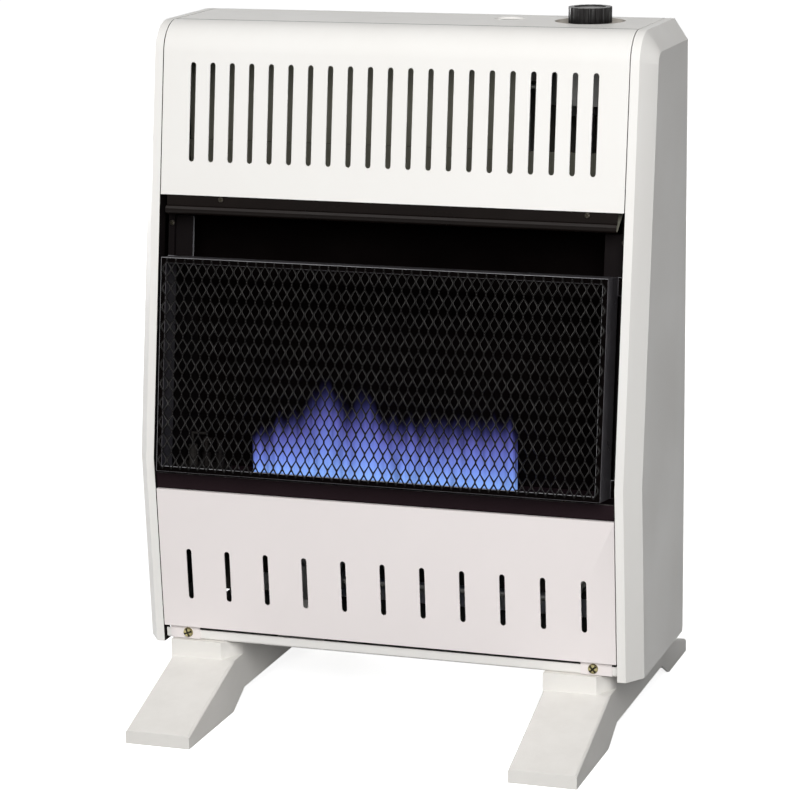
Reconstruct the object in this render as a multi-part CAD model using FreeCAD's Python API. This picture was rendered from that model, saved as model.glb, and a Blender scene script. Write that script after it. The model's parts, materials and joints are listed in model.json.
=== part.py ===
import FreeCAD, Part
import math
import os

from FreeCAD import Vector

# Millimetres. Z is up, the front faces -Y, X runs to the right seen from the front.
# The origin is on the floor, under the middle of the feet.

# Cabinet
case_width = 460.0
case_depth = 173.0
case_top = 614.0
side_bottom = 60.0
knee_height = 233.0
upper_lean = 7.8
lower_lean = 4.0
brow_radius = 29.0
corner_width = 12.0
corner_depth = 18.0
strip_width = 8.0
strip_return = 14.0
rear_return = 12.0
top_flange = 14.0
base_flange = 20.0
sheet = 1.0
bend = 1.5

# Clearances
seam_gap = 0.8
lap_gap = 0.1
running_gap = 0.05
screw_gap = 0.2
alike = 0.01

# Feet
foot_length = 395.0
foot_width = 60.0
foot_inset = 26.0
foot_height = 63.0
foot_wall = 3.0
toe_reach = 96.0
toe_height = 12.0
toe_pad = 105.0
heel_pad = 68.0
arch_height = 15.0
arch_ramp = 28.0
shoulder_height = 47.0
facet_width = 12.0
facet_depth = 24.0
foot_rib_count = 6
foot_bevel = 1.5
boss_width = 12.0
boss_front = 45.0
boss_rear = 33.0

# Front panels
slot_width = 5.0
slot_end_sides = 5
slot_margin = 27.0
upper_panel_height = 149.0
upper_slot_pitch = 18.15
upper_slot_rise = 29.0
upper_slot_drop = 5.0
lower_panel_drop = 28.0
lower_panel_rise = 13.0
lower_slot_pitch = 36.4
lower_slot_rise = 27.0
lower_slot_length = 47.5
ear_width = 28.0
ear_inset = 4.5
ear_set_back = 3.5
ear_screw_share = 0.6
panel_return = 8.0
tongue = 12.0
rail_height = 9.5

# Firebox and guard
firebox_inset = 5.0
control_space = 82.5
firebox_step = 4.0
firebox_step_drop = 81.0
ledge_height = 15.0
hood_strip = 9.0
hood_nose = 8.0
hood_rise = 30.0
hood_flange = 20.0
guard_inset = 8.0
guard_proud = 14.0
guard_wall = 34.0
guard_bottom = 9.0
outlet_height = 37.0
guard_lip = 5.0
guard_ear = 16.0
mesh_pitch = 30.0
mesh_rise = 15.5
mesh_strand = 3.0
baffle_clear = 52.0

# Burner and pilot
burner_left_margin = 62.0
burner_right_margin = 82.0
burner_radius = 14.0
burner_depth = 42.0
burner_drop = 10.0
port_pitch = 21.0
port_width = 2.5
port_length = 6.0
burner_room = 3.0
venturi_length = 38.0
throat_radius = 8.0
injector_bore = 5.0
pilot_offset = 16.0
pilot_hole = 4.0
pilot_pitch = 13.0
pilot_collar = 5.2
pilot_nut = 10.4
pilot_tip = 2.4
spark_wire = 1.2
spark_height = 30.0
insulator_height = 19.0

# Controls
knob_inset = 58.0
knob_back = 36.0
knob_radius = 19.0
knob_height = 14.0
knob_sink = 1.8
knob_travel = 5.0
knob_wall = 2.5
knob_roof = 6.0
knob_flutes = 20
flute_depth = 0.9
dish_radius = 30.5
dish_depth = 8.0
stem_room = 3.0
stem_radius = 4.0
plunger_radius = 6.0
plunger_length = 16.0
shelf_flange = 30.0
shelf_left_margin = 24.0
shelf_right_margin = 40.0
valve_drop = 28.0
valve_width = 64.0
valve_length = 50.0
valve_height = 42.0
valve_floor = 8.0
valve_neck = 8.0
neck_height = 11.0
bonnet_radius = 17.0
bonnet_height = 10.0
port_radius = 8.0
port_reach = 10.0
port_rise = 14.0
magnet_across = 12.0
end_play = 2.0
button_spacing = 73.5
button_back = 32.0
button_radius = 11.0
button_hole_radius = 13.0
button_rim = 4.0
button_sink = 1.5
button_travel = 7.0
button_skirt = 11.0
guide_radius = 5.0
guide_length = 30.0
nut_height = 4.0
nut_across = 23.0
igniter_radius = 10.0
igniter_length = 60.0

# Gas lines
regulator_inset = 120.0
regulator_depth = 75.0
regulator_rise = 49.0
regulator_half = 22.0
regulator_tall = 28.0
regulator_rim = 28.5
regulator_step = 4.4
regulator_cap = 17.5
regulator_port = 8.0
inlet_radius = 7.9
inlet_wall = 2.2
inlet_collar = 8.0
inlet_reach = 24.0
thin_sides = 12
round_sides = 24
line_radius = 4.0
pilot_line_radius = 2.0
lead_radius = 1.5
line_drop = 14.0
line_back = 32.0
line_pitch = 6.0

# Fixings
screw_radius = 2.0
screw_head_radius = 4.5
screw_head_height = 2.4
keyhole_inset = 65.0
keyhole_drop = 94.0
keyhole_radius = 6.0

# Places worked out from the sizes above
half_width = case_width / 2
knee_y = toe_reach - foot_length / 2
rear_y = knee_y + case_depth
seam_x = half_width - corner_width - strip_width
foot_spacing = case_width - 2 * foot_inset - foot_width
panel_half = seam_x - seam_gap / 2
strip_x = seam_x + seam_gap / 2
upper_angle = math.radians(upper_lean)
lower_angle = math.radians(lower_lean)
brow_z = case_top - brow_radius
brow_rise = math.sin(upper_angle) * (brow_z - knee_height)
brow_y = knee_y + (brow_radius + brow_rise) / math.cos(upper_angle)
upper_panel_bottom = case_top - upper_panel_height
upper_slot_bottom = upper_panel_bottom + upper_slot_rise
upper_slot_length = (brow_z - upper_slot_drop - upper_slot_bottom) / math.cos(upper_angle)
lower_panel_top = knee_height - lower_panel_drop
lower_panel_bottom = foot_height + lower_panel_rise
lower_slot_bottom = lower_panel_bottom + lower_slot_rise
back_y = rear_y - sheet
flange_y = back_y - lap_gap - sheet
base_z = foot_height + lap_gap
floor_z = lower_panel_top + lap_gap
side_plate_x = seam_x - firebox_inset
fire_half = side_plate_x - sheet - lap_gap
fire_y = rear_y - control_space
firebox_step_height = upper_panel_bottom - hood_strip - firebox_step_drop
hood_edge = upper_panel_bottom - hood_strip
hood_top = hood_edge + hood_rise + hood_flange
hood_flange_low = hood_edge + 2 * bend
guard_half = seam_x - guard_inset
guard_rear = guard_wall - guard_proud
guard_top = (hood_edge - hood_nose - outlet_height - knee_height) / math.cos(upper_angle)
guard_height = guard_top + guard_bottom
burner_y = knee_y + burner_depth
burner_z = floor_z - burner_drop
burner_left = -seam_x + burner_left_margin
burner_right = seam_x - burner_right_margin
burner_length = burner_right - burner_left
injector_x = burner_right + venturi_length + tongue
pilot_x = burner_left - pilot_offset
pilot_z = floor_z + sheet
pilot_seat = pilot_z + lap_gap + tongue
knob_x = seam_x - knob_inset
knob_y = rear_y - knob_back
button_x = knob_x - button_spacing
button_y = rear_y - button_back
knob_bottom = case_top - knob_sink
knob_top = knob_bottom + knob_height
shelf_top = case_top - valve_drop
valve_top = shelf_top - sheet - lap_gap
valve_bottom = valve_top - valve_height
valve_mid = valve_bottom + port_rise
body_top = valve_top - bonnet_height
neck_top = shelf_top + neck_height
chamber_floor = valve_bottom + valve_floor
plunger_bottom = chamber_floor + knob_travel + end_play
plunger_top = plunger_bottom + plunger_length
stem_bottom = plunger_top + 4 * running_gap
stem_top = knob_top - knob_roof
shelf_left = button_x - shelf_left_margin
shelf_right = knob_x + shelf_right_margin
button_top = case_top - button_sink
button_bottom = button_top - button_skirt
guide_top = button_bottom - button_travel - end_play / 2
igniter_top = shelf_top - sheet
regulator_x = -seam_x + regulator_inset
regulator_y = knee_y + regulator_depth
regulator_height = foot_height + regulator_rise
keyhole_spacing = case_width - 2 * keyhole_inset
keyhole_height = case_top - keyhole_drop


def box(x0, x1, y0, y1, z0, z1):
    return Part.makeBox(x1 - x0, y1 - y0, z1 - z0, Vector(x0, y0, z0))


def rod(radius, start, end):
    axis = Vector(*end) - Vector(*start)
    return Part.makeCylinder(radius, axis.Length, Vector(*start), axis)


def knob_rod(radius, low, high):
    return rod(radius, (knob_x, knob_y, low), (knob_x, knob_y, high))


def button_rod(radius, low, high):
    return rod(radius, (button_x, button_y, low), (button_x, button_y, high))


def burner_rod(radius, left, right):
    return rod(radius, (left, burner_y, burner_z), (right, burner_y, burner_z))


def polygon(sides, radius, centre, axis):
    """A regular polygon round a point, square to an axis."""
    step = 2 * math.pi / sides
    corners = [Vector(radius * math.cos(k * step), radius * math.sin(k * step), 0) for k in range(sides)]
    wire = Part.makePolygon(corners + corners[:1])
    wire.Placement = FreeCAD.Placement(centre, FreeCAD.Rotation(Vector(0, 0, 1), axis))
    return wire


def bar(radius, start, end, sides=thin_sides):
    """A thin round piece as a many-sided bar."""
    axis = Vector(*end) - Vector(*start)
    return Part.Face(polygon(sides, radius, Vector(*start), axis)).extrude(axis)


def burner_bar(radius, left, right, sides=thin_sides):
    return bar(radius, (left, burner_y, burner_z), (right, burner_y, burner_z), sides)


def hexagon(across, start, end):
    """A hexagonal bar from start to end."""
    return bar(across / math.sqrt(3), start, end, 6)


def join(shapes):
    return shapes[0].multiFuse(shapes[1:]).removeSplitter()


def mirrored(shape):
    return shape.mirror(Vector(0, 0, 0), Vector(1, 0, 0))


def across_x(wire_or_points, x0, x1):
    """A solid with the given outline in the YZ plane, from x0 to x1."""
    outline = wire_or_points
    if isinstance(outline, list):
        outline = Part.makePolygon([Vector(0, y, z) for y, z in outline + outline[:1]])
    face = Part.Face(outline)
    face.translate(Vector(x0, 0, 0))
    return face.extrude(Vector(x1 - x0, 0, 0))


def line(a, b):
    return Part.LineSegment(a, b).toShape()


def rounded_edges(points, radii):
    """Straight edges through the points, with an arc of the given radius at each inner corner."""
    edges = []
    start = points[0]
    for before, corner, after, radius in zip(points, points[1:], points[2:], radii):
        toward = (before - corner).normalize()
        away = (after - corner).normalize()
        half = toward.getAngle(away) / 2
        reach = radius / math.tan(half)
        first = corner + toward * reach
        last = corner + away * reach
        inward = (toward + away).normalize()
        middle = corner + inward * (radius / math.sin(half) - radius)
        edges.append(line(start, first))
        edges.append(Part.Arc(first, middle, last).toShape())
        start = last
    edges.append(line(start, points[-1]))
    return edges


def bent_sheet(path, x0, x1, side=1):
    """Sheet metal folded along (y, z) points; its thickness lies to the left, or to the right for side -1."""
    points = [Vector(0, y, z) for y, z in path]
    normals = []
    for a, b in zip(points, points[1:]):
        run = (b - a).normalize()
        normals.append(Vector(0, -run.z, run.y) * side)
    shifted = [points[0] + normals[0] * sheet]
    near_radii = []
    far_radii = []
    for k in range(1, len(points) - 1):
        mean = (normals[k - 1] + normals[k]).normalize()
        shifted.append(points[k] + mean * (sheet / mean.dot(normals[k])))
        turns_to_sheet = (points[k + 1] - points[k]).dot(normals[k - 1]) > 0
        near_radii.append(bend + sheet if turns_to_sheet else bend)
        far_radii.append(bend if turns_to_sheet else bend + sheet)
    shifted.append(points[-1] + normals[-1] * sheet)
    near = rounded_edges(points, near_radii)
    far = rounded_edges(shifted[::-1], far_radii[::-1])
    outline = near + [line(points[-1], shifted[-1])] + far + [line(shifted[0], points[0])]
    return across_x(Part.Wire(outline), x0, x1)


def bent_rod(points, radius):
    """A thin rod along straight runs with mitred corners."""
    path = [Vector(*p) for p in points]
    section = polygon(thin_sides, radius, path[0], path[1] - path[0])
    return Part.makePolygon(path).makePipeShell([section], True, False, 1)


def turned(profile, x, y):
    """A solid of revolution about a vertical axis from (radius, z) points."""
    wire = Part.makePolygon([Vector(x + r, y, z) for r, z in profile + profile[:1]])
    return Part.Face(wire).revolve(Vector(x, y, 0), Vector(0, 0, 1), 360)


def front_y(z, inset=0.0):
    """The y of the front surface at height z, or of a surface set in behind it."""
    if z >= knee_height:
        return knee_y + ((z - knee_height) * math.sin(upper_angle) + inset) / math.cos(upper_angle)
    return knee_y + ((knee_height - z) * math.sin(lower_angle) + inset) / math.cos(lower_angle)


def on_upper(shape):
    """Moves a shape from a frame on the knee line, upright, to the plane of the upper front."""
    shape.rotate(Vector(0, 0, 0), Vector(1, 0, 0), -upper_lean)
    shape.translate(Vector(0, knee_y, knee_height))
    return shape


def on_lower(shape):
    """Moves a shape from a frame on the knee line, upright, to the plane of the lower front."""
    shape.rotate(Vector(0, 0, 0), Vector(1, 0, 0), lower_lean)
    shape.translate(Vector(0, knee_y, knee_height))
    return shape


def up_the_front(z):
    """The distance along the front surface from the knee line to height z."""
    angle = upper_angle if z >= knee_height else lower_angle
    return (z - knee_height) / math.cos(angle)


def knee_point(inset):
    lower_cos = math.cos(lower_angle)
    upper_cos = math.cos(upper_angle)
    rise = inset * (1 - lower_cos / upper_cos) / (math.tan(upper_angle) * lower_cos + math.sin(lower_angle))
    return knee_y + (inset + rise * math.sin(upper_angle)) / upper_cos, knee_height + rise


def brow_arc(inset):
    """Start, middle and end of the rounded brow, set in by inset."""
    radius = brow_radius - inset
    points = []
    for angle in (math.pi - upper_angle, (1.5 * math.pi - upper_angle) / 2, math.pi / 2):
        points.append(Vector(0, brow_y + radius * math.cos(angle), brow_z + radius * math.sin(angle)))
    return points


def case_outline(x, inset, bottom, rear):
    """The cabinet's side outline, set in from its front and top only."""
    start, middle, end = brow_arc(inset)
    toe = Vector(0, front_y(bottom, inset), bottom)
    knee = Vector(0, *knee_point(inset))
    top_rear = Vector(0, rear, case_top - inset)
    bottom_rear = Vector(0, rear, bottom)
    edges = [line(toe, knee), line(knee, start), Part.Arc(start, middle, end).toShape()]
    edges += [line(end, top_rear), line(top_rear, bottom_rear), line(bottom_rear, toe)]
    wire = Part.Wire(edges)
    wire.translate(Vector(x, 0, 0))
    return wire


def envelope(inset, bottom, rear):
    """The cabinet's outer form with its bevelled corners, set in evenly."""
    spread = inset * math.hypot(1 / corner_width, 1 / corner_depth)
    flat_x = half_width - corner_width * (1 + spread - inset / corner_depth)
    side_x = half_width - inset
    deep = corner_depth * (1 + spread - inset / corner_width)
    stations = ((-side_x, deep), (-flat_x, inset), (flat_x, inset), (side_x, deep))
    return Part.makeLoft([case_outline(x, i, bottom, rear) for x, i in stations], True, True)


def front_band(bottom, inset, depth, x0, x1):
    """A layer of the upper front, from a height up to the end of the brow."""
    outer = brow_arc(inset)
    inner = brow_arc(inset + depth)
    low_outer = Vector(0, front_y(bottom, inset), bottom)
    low_inner = Vector(0, front_y(bottom, inset + depth), bottom)
    edges = [line(low_outer, outer[0]), Part.Arc(*outer).toShape(), line(outer[2], inner[2])]
    edges += [Part.Arc(*inner[::-1]).toShape(), line(inner[0], low_inner), line(low_inner, low_outer)]
    return across_x(Part.Wire(edges), x0, x1)


def slot_cutter(x, bottom, length):
    """An upright slot with rounded ends through the plane y = 0."""
    radius = slot_width / 2
    reach = strip_return
    points = []
    for middle, start in ((bottom + length - radius, 0.0), (bottom + radius, math.pi)):
        for k in range(slot_end_sides + 1):
            angle = start + k * math.pi / slot_end_sides
            points.append(Vector(x + radius * math.cos(angle), -reach, middle + radius * math.sin(angle)))
    return Part.Face(Part.makePolygon(points + points[:1])).extrude(Vector(0, 2 * reach, 0))


def slot_row(pitch, bottom, length):
    """As many upright slots as fit between the panel's margins, centred."""
    count = int(2 * (panel_half - slot_margin) / pitch) + 1
    first = -pitch * (count - 1) / 2
    return Part.makeCompound([slot_cutter(first + k * pitch, bottom, length) for k in range(count)])


def screws(places, direction, length):
    """Pan-head screws: each head sits on its place and its shank runs along the direction."""
    axis = Vector(*direction)
    made = []
    for place in places:
        seat = Vector(*place)
        head = bar(screw_head_radius, seat, seat - axis * screw_head_height)
        made.append(join([head, bar(screw_radius, seat, seat + axis * length)]))
    return Part.makeCompound(made)


def screw_holes(places, direction, reach):
    along = Vector(*direction) * reach
    radius = screw_radius + screw_gap
    return Part.makeCompound([bar(radius, Vector(*p) - along, Vector(*p) + along) for p in places])


# The two visible screws at the lower panel's ears
panel_screw_height = (foot_height + lower_panel_bottom) / 2
panel_screw_x = panel_half - ear_inset - ear_width * ear_screw_share
panel_screws_at = [(s * panel_screw_x, ear_set_back, up_the_front(panel_screw_height)) for s in (-1, 1)]


def side_panel():
    """Right side: side wall, bevel, strip, the strip's return and the rear return in one sheet."""
    over = corner_depth
    shell = envelope(0, side_bottom, rear_y).cut(envelope(sheet, side_bottom - over, rear_y + over))
    half = box(strip_x, half_width + over, knee_y - over, rear_y + over, 0, case_top + over)
    wall = shell.common(half)
    edge = across_x(case_outline(0, 0, side_bottom, flange_y), strip_x, strip_x + sheet)
    edge = edge.cut(across_x(case_outline(0, strip_return, 0, rear_y), strip_x, strip_x + sheet))
    rear = envelope(0, side_bottom, flange_y + sheet)
    rear_top = case_top - corner_depth
    rear = rear.common(box(half_width - rear_return, half_width, flange_y, rear_y, 0, rear_top))
    panel = join([wall, edge, rear])
    clear_back = box(0, half_width + over, flange_y + sheet, rear_y + over, 0, case_top + over)
    return panel.cut(clear_back)


def top_panel():
    front = brow_y + seam_gap
    plate = box(-panel_half, panel_half, front, flange_y + sheet, case_top - sheet, case_top)
    rear = box(-panel_half, panel_half, flange_y, flange_y + sheet, case_top - top_flange, case_top)
    sides = []
    for x in (-panel_half, panel_half - sheet):
        sides.append(box(x, x + sheet, front, flange_y + sheet, case_top - panel_return, case_top))
    plate = plate.cut(knob_rod(dish_radius, 0, case_top))
    plate = plate.cut(button_rod(button_hole_radius, 0, case_top))
    dish_floor = case_top - dish_depth
    hole = stem_radius + stem_room
    dish_outer = dish_radius + sheet
    dish = [(dish_radius, case_top), (dish_radius, dish_floor), (hole, dish_floor)]
    dish += [(hole, dish_floor - sheet), (dish_outer, dish_floor - sheet), (dish_outer, case_top)]
    rim_low = case_top - button_rim
    rim = [(button_hole_radius, case_top), (button_hole_radius, rim_low)]
    rim += [(button_hole_radius + sheet, rim_low), (button_hole_radius + sheet, case_top)]
    return join([plate, rear] + sides + [turned(dish, knob_x, knob_y), turned(rim, button_x, button_y)])


def upper_front_panel():
    face = front_band(upper_panel_bottom, 0, sheet, -panel_half, panel_half)
    sides = []
    for x in (-panel_half, panel_half - sheet):
        sides.append(front_band(upper_panel_bottom + hood_flange, 0, panel_return, x, x + sheet))
    tuck = panel_half - sheet - seam_gap
    under = case_top - sheet - lap_gap
    lip = box(-tuck, tuck, brow_y - tongue / 2, brow_y + tongue, under - sheet, under)
    panel = join([face, lip] + sides)
    row = slot_row(upper_slot_pitch, up_the_front(upper_slot_bottom), upper_slot_length)
    return panel.cut(on_upper(row))


def front_plate(bottom, top, inset, depth, x0, x1):
    """A layer of the lower front between two heights, set in behind the surface."""
    corners = [(front_y(z, inset), z) for z in (bottom, top)]
    corners += [(front_y(z, inset + depth), z) for z in (top, bottom)]
    return across_x(corners, x0, x1)


def lower_front_panel():
    """Slotted panel with folded edges; two ears hang from its bottom fold, set back to the base rail."""
    low = lower_panel_bottom
    top = lower_panel_top
    face = front_plate(low, top, 0, sheet, -panel_half, panel_half)
    top_lip = box(-panel_half, panel_half, front_y(top), front_y(top) + tongue, top - sheet, top)
    fold = front_plate(low, low + sheet, 0, ear_set_back + sheet, -panel_half, panel_half)
    sides = [front_plate(low, top, 0, panel_return, x, x + sheet) for x in (-panel_half, panel_half - sheet)]
    ears = []
    for s in (-1, 1):
        x0, x1 = sorted((s * (panel_half - ear_inset), s * (panel_half - ear_inset - ear_width)))
        ears.append(front_plate(foot_height + seam_gap, low + sheet, ear_set_back, sheet, x0, x1))
    panel = join([face, top_lip, fold] + sides + ears)
    row = slot_row(lower_slot_pitch, up_the_front(lower_slot_bottom), lower_slot_length)
    return panel.cut(on_lower(row)).cut(on_lower(screw_holes(panel_screws_at, (0, 1, 0), panel_return)))


def keyhole(x):
    """A wall hook opening: a round entry with a narrower slot above it."""
    narrow = keyhole_radius / 2
    entry = rod(keyhole_radius, (x, back_y - sheet, keyhole_height), (x, rear_y + sheet, keyhole_height))
    top = keyhole_height + 2.5 * keyhole_radius
    neck = box(x - narrow, x + narrow, back_y - sheet, rear_y + sheet, keyhole_height, top)
    return entry.fuse([neck, rod(narrow, (x, back_y - sheet, top), (x, rear_y + sheet, top))])


def back_panel():
    skin = envelope(0, base_z, rear_y).common(box(-half_width, half_width, back_y, rear_y, 0, case_top))
    cuts = [keyhole(s * keyhole_spacing / 2) for s in (-1, 1)]
    inlet_hole = inlet_radius - inlet_wall + screw_gap
    x, z = regulator_x, regulator_height
    cuts.append(rod(inlet_hole, (x, back_y - sheet, z), (x, rear_y + sheet, z)))
    clear = regulator_half + slot_margin
    first = -keyhole_spacing / 2
    for k in range(int(keyhole_spacing / lower_slot_pitch) + 1):
        vent_x = first + k * lower_slot_pitch
        if abs(vent_x - x) > clear:
            low = base_z + 2 * base_flange
            half = slot_width / 2
            cuts.append(box(vent_x - half, vent_x + half, back_y, rear_y, low, low + lower_slot_length))
    return skin.cut(cuts)


def base_pan():
    rail_top = foot_height + rail_height
    set_back = ear_set_back + sheet + lap_gap
    path = [(front_y(rail_top, set_back), rail_top), (front_y(base_z, set_back), base_z)]
    path += [(flange_y + sheet, base_z), (flange_y + sheet, base_z + base_flange)]
    tray = bent_sheet(path, -panel_half, panel_half)
    wall_x = half_width - sheet - lap_gap
    front = front_y(side_bottom, corner_depth) + base_flange
    rear = flange_y - base_flange
    wings = []
    for s in (-1, 1):
        low, high = sorted((s * (panel_half - base_flange), s * wall_x))
        wings.append(box(low, high, front, rear, base_z, base_z + sheet))
        low, high = sorted((s * (wall_x - sheet), s * wall_x))
        wings.append(box(low, high, front, rear, base_z, base_z + base_flange))
    pan = join([tray] + wings)
    return pan.cut(on_lower(screw_holes(panel_screws_at, (0, 1, 0), panel_return)))


def foot_profile(inset):
    """Side outline of a foot without its arch, set in from the top and the ends."""
    front = -foot_length / 2 + inset
    rear = foot_length / 2 - inset
    block_front = front_y(foot_height) + inset
    block_rear = rear_y - inset
    top = foot_height - inset
    shoulder = shoulder_height - inset
    toe = toe_height - inset
    points = [(front, 0), (front, toe), (block_front, shoulder), (block_front, top), (block_rear, top)]
    return points + [(block_rear, shoulder), (rear, toe), (rear, 0)]


def foot():
    """One moulded foot: sloping toe and heel, faceted block, arched underside and hollow with cross ribs."""
    half = foot_width / 2
    outer = across_x(foot_profile(0), -half, half)
    block_front = front_y(foot_height)
    corner = [(half - facet_width, block_front), (half, block_front), (half, block_front + facet_depth)]
    facet = Part.Face(Part.makePolygon([Vector(x, y, shoulder_height) for x, y in corner + corner[:1]]))
    outer = outer.cut(facet.extrude(Vector(0, 0, foot_height)))
    slopes = [e for e in outer.Edges if e.BoundBox.XLength < alike and e.BoundBox.ZMin > toe_height - alike]
    slopes = [e for e in slopes if e.BoundBox.YLength > toe_height and e.BoundBox.ZLength > toe_height]
    outer = outer.makeChamfer(foot_bevel, slopes)
    hollow = across_x(foot_profile(foot_wall), -half + foot_wall, half - foot_wall)
    shifted = facet.extrude(Vector(0, 0, foot_height)).translated(Vector(-foot_wall, 0, -foot_wall))
    hollow = hollow.cut(shifted.fuse(shifted.translated(Vector(0, foot_wall, 0))))
    start = -foot_length / 2 + toe_pad
    end = foot_length / 2 - heel_pad
    arch_points = [(start, 0), (start + arch_ramp, arch_height), (end - arch_ramp, arch_height), (end, 0)]
    arch = across_x(arch_points, -half, half)
    keep = []
    gap = foot_length / (foot_rib_count + 1)
    for k in range(foot_rib_count):
        y = -foot_length / 2 + gap * (k + 1)
        keep.append(box(-half, half, y - foot_wall / 2, y + foot_wall / 2, 0, foot_height))
    for y in (knee_y + boss_front, rear_y - boss_rear):
        keep.append(hexagon(boss_width, (0, y, shoulder_height / 2), (0, y, foot_height)))
    hollow = hollow.cut(keep)
    return outer.cut(hollow).cut(arch)


def firebox_floor():
    lip_top = floor_z + ledge_height
    set_back = 2 * sheet
    path = [(front_y(lip_top, set_back), lip_top), (front_y(floor_z, set_back), floor_z)]
    path += [(fire_y + tongue, floor_z)]
    pan = bent_sheet(path, -panel_half, panel_half)
    margin = burner_radius + burner_room
    left = burner_left - burner_room
    right = burner_right + venturi_length + burner_room
    window = box(left, right, burner_y - margin, burner_y + margin, 0, case_top)
    return pan.cut(window)


def firebox_side():
    """Right side plate of the firebox with the flange that carries the guard."""
    bottom = floor_z + sheet + lap_gap
    top = hood_edge + hood_rise
    near = guard_rear + lap_gap
    step = firebox_step_height
    rear = fire_y - lap_gap
    front = [(front_y(z, near), z) for z in (bottom, knee_height, top)]
    points = [(rear, top), (rear, step + firebox_step), (rear + firebox_step, step - firebox_step)]
    points.append((rear + firebox_step, bottom))
    plate = across_x(front + points, side_plate_x - sheet, side_plate_x)
    behind = [(front_y(z, near + sheet), z) for z in (top, knee_height, bottom)]
    flange = across_x(front + behind, side_plate_x - sheet, panel_half)
    return join([plate, flange])


def firebox_back():
    bottom = floor_z + sheet + lap_gap
    step = firebox_step_height
    path = [(fire_y + firebox_step, bottom), (fire_y + firebox_step, step - firebox_step)]
    path += [(fire_y, step + firebox_step), (fire_y, hood_top)]
    return bent_sheet(path, -panel_half, panel_half, -1)


def hood():
    """Deflector: screwed flange, rounded nose, sloping roof and rear flange."""
    behind = sheet + lap_gap
    flange_top = upper_panel_bottom + hood_flange
    nose_y = front_y(hood_edge, behind) - hood_nose / 2
    rear = fire_y - lap_gap - sheet
    path = [(front_y(flange_top, behind), flange_top), (front_y(hood_flange_low, behind), hood_flange_low)]
    nose_z = hood_edge - hood_nose
    path += [(nose_y, hood_edge), (nose_y, nose_z), (nose_y + hood_nose, nose_z)]
    path += [(rear, hood_edge + hood_rise), (rear, hood_top)]
    return bent_sheet(path, -fire_half, fire_half)


def upper_baffle():
    rear = fire_y + sheet + lap_gap
    top = case_top - top_flange - panel_return
    path = [(rear, hood_edge), (rear, top), (rear - tongue, top)]
    return bent_sheet(path, -fire_half, knob_x - baffle_clear, -1)


def guard_frame():
    """Shallow sheet box around the guard, with a front lip and four rear ears."""
    low = -guard_bottom
    high = guard_height - guard_bottom
    outer = box(-guard_half, guard_half, -guard_proud, guard_rear, low, high)
    t = sheet
    inner = box(-guard_half + t, guard_half - t, -guard_proud + t, guard_rear, low + t, high - t)
    clear = guard_half - guard_lip
    window = box(-clear, clear, -guard_proud, 0, low + guard_lip, high - guard_lip)
    ears = []
    for s in (-1, 1):
        x0, x1 = sorted((s * (guard_half - t), s * panel_half))
        for z in (low, high - guard_ear):
            ears.append(box(x0, x1, guard_rear - t, guard_rear, z, z + guard_ear))
    return on_upper(join([outer.cut(inner.fuse(window))] + ears))


def guard_mesh():
    """Expanded metal: one sheet with staggered diamond openings."""
    t = sheet + lap_gap
    x0 = -guard_half + t
    z0 = -guard_bottom + t
    width = 2 * guard_half - 2 * t
    height = guard_height - 2 * t
    front = -guard_proud + t
    rim = guard_lip
    columns = int((width - 2 * rim) / mesh_pitch)
    rows = int((height - 2 * rim) / mesh_rise) - 1
    pitch_x = (width - 2 * rim) / columns
    pitch_z = (height - 2 * rim) / (rows + 1) * 2
    half_x = pitch_x / 2 - mesh_strand / 2
    half_z = half_x * pitch_z / pitch_x
    border = [(x0, z0), (x0 + width, z0), (x0 + width, z0 + height), (x0, z0 + height)]
    wires = [Part.makePolygon([Vector(x, front, z) for x, z in border + border[:1]])]
    for row in range(rows):
        count = columns - row % 2
        z = z0 + rim + pitch_z / 2 * (row + 1)
        for column in range(count):
            x = x0 + rim + pitch_x * (column + 0.5 + 0.5 * (row % 2))
            diamond = [(x - half_x, z), (x, z + half_z), (x + half_x, z), (x, z - half_z)]
            wires.append(Part.makePolygon([Vector(a, front, b) for a, b in diamond + diamond[:1]]))
    holes = [Part.Face(w) for w in wires[1:]]
    net = Part.Face(wires[0]).cut(holes)
    return on_upper(net.extrude(Vector(0, sheet, 0)))


def burner_tube():
    """Round burner tube, closed on the left, with a row of flame ports along its top."""
    tube = burner_rod(burner_radius, burner_left, burner_right)
    tube = tube.cut(burner_rod(burner_radius - sheet, burner_left + sheet, burner_right))
    margin = 2 * burner_radius
    ports = []
    for k in range(int((burner_length - 2 * margin) / port_pitch) + 1):
        x = burner_left + margin + k * port_pitch
        half_x = port_width / 2
        half_y = port_length / 2
        ports.append(box(x - half_x, x + half_x, burner_y - half_y, burner_y + half_y, burner_z, case_top))
    return tube.cut(ports)


def burner_saddle(x):
    """A hanger under the firebox floor with a round notch that carries the burner tube."""
    half = burner_y - front_y(lower_panel_top) - tongue - seam_gap
    top = floor_z - lap_gap
    low = burner_z - burner_radius - 2 * sheet
    margin = burner_radius + burner_room
    plate = box(x, x + sheet, burner_y - half, burner_y + half, low, top)
    tabs = []
    for s in (-1, 1):
        y0, y1 = sorted((burner_y + s * (margin + sheet), burner_y + s * half))
        tabs.append(box(x, x + tongue, y0, y1, top - sheet, top))
    notch = burner_rod(burner_radius + lap_gap, x - tongue, x + 2 * tongue)
    mouth = box(x - tongue, x + 2 * tongue, burner_y - margin, burner_y + margin, burner_z, top)
    return join([plate] + tabs).cut(notch.fuse(mouth))


def venturi():
    """Mixing tube: a plug in the burner, a narrower throat and a wide mouth, with one straight bore."""
    plug = burner_radius - sheet - lap_gap
    throat = throat_radius + sheet
    left = burner_right - tongue
    right = burner_right + venturi_length
    mouth_x = right - tongue
    spans = [(plug, left, burner_right), (throat, burner_right, mouth_x), (plug, mouth_x, right)]
    tube = join([burner_bar(radius, x0, x1, round_sides) for radius, x0, x1 in spans])
    return tube.cut(burner_bar(throat_radius, left, right, round_sides))


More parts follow.
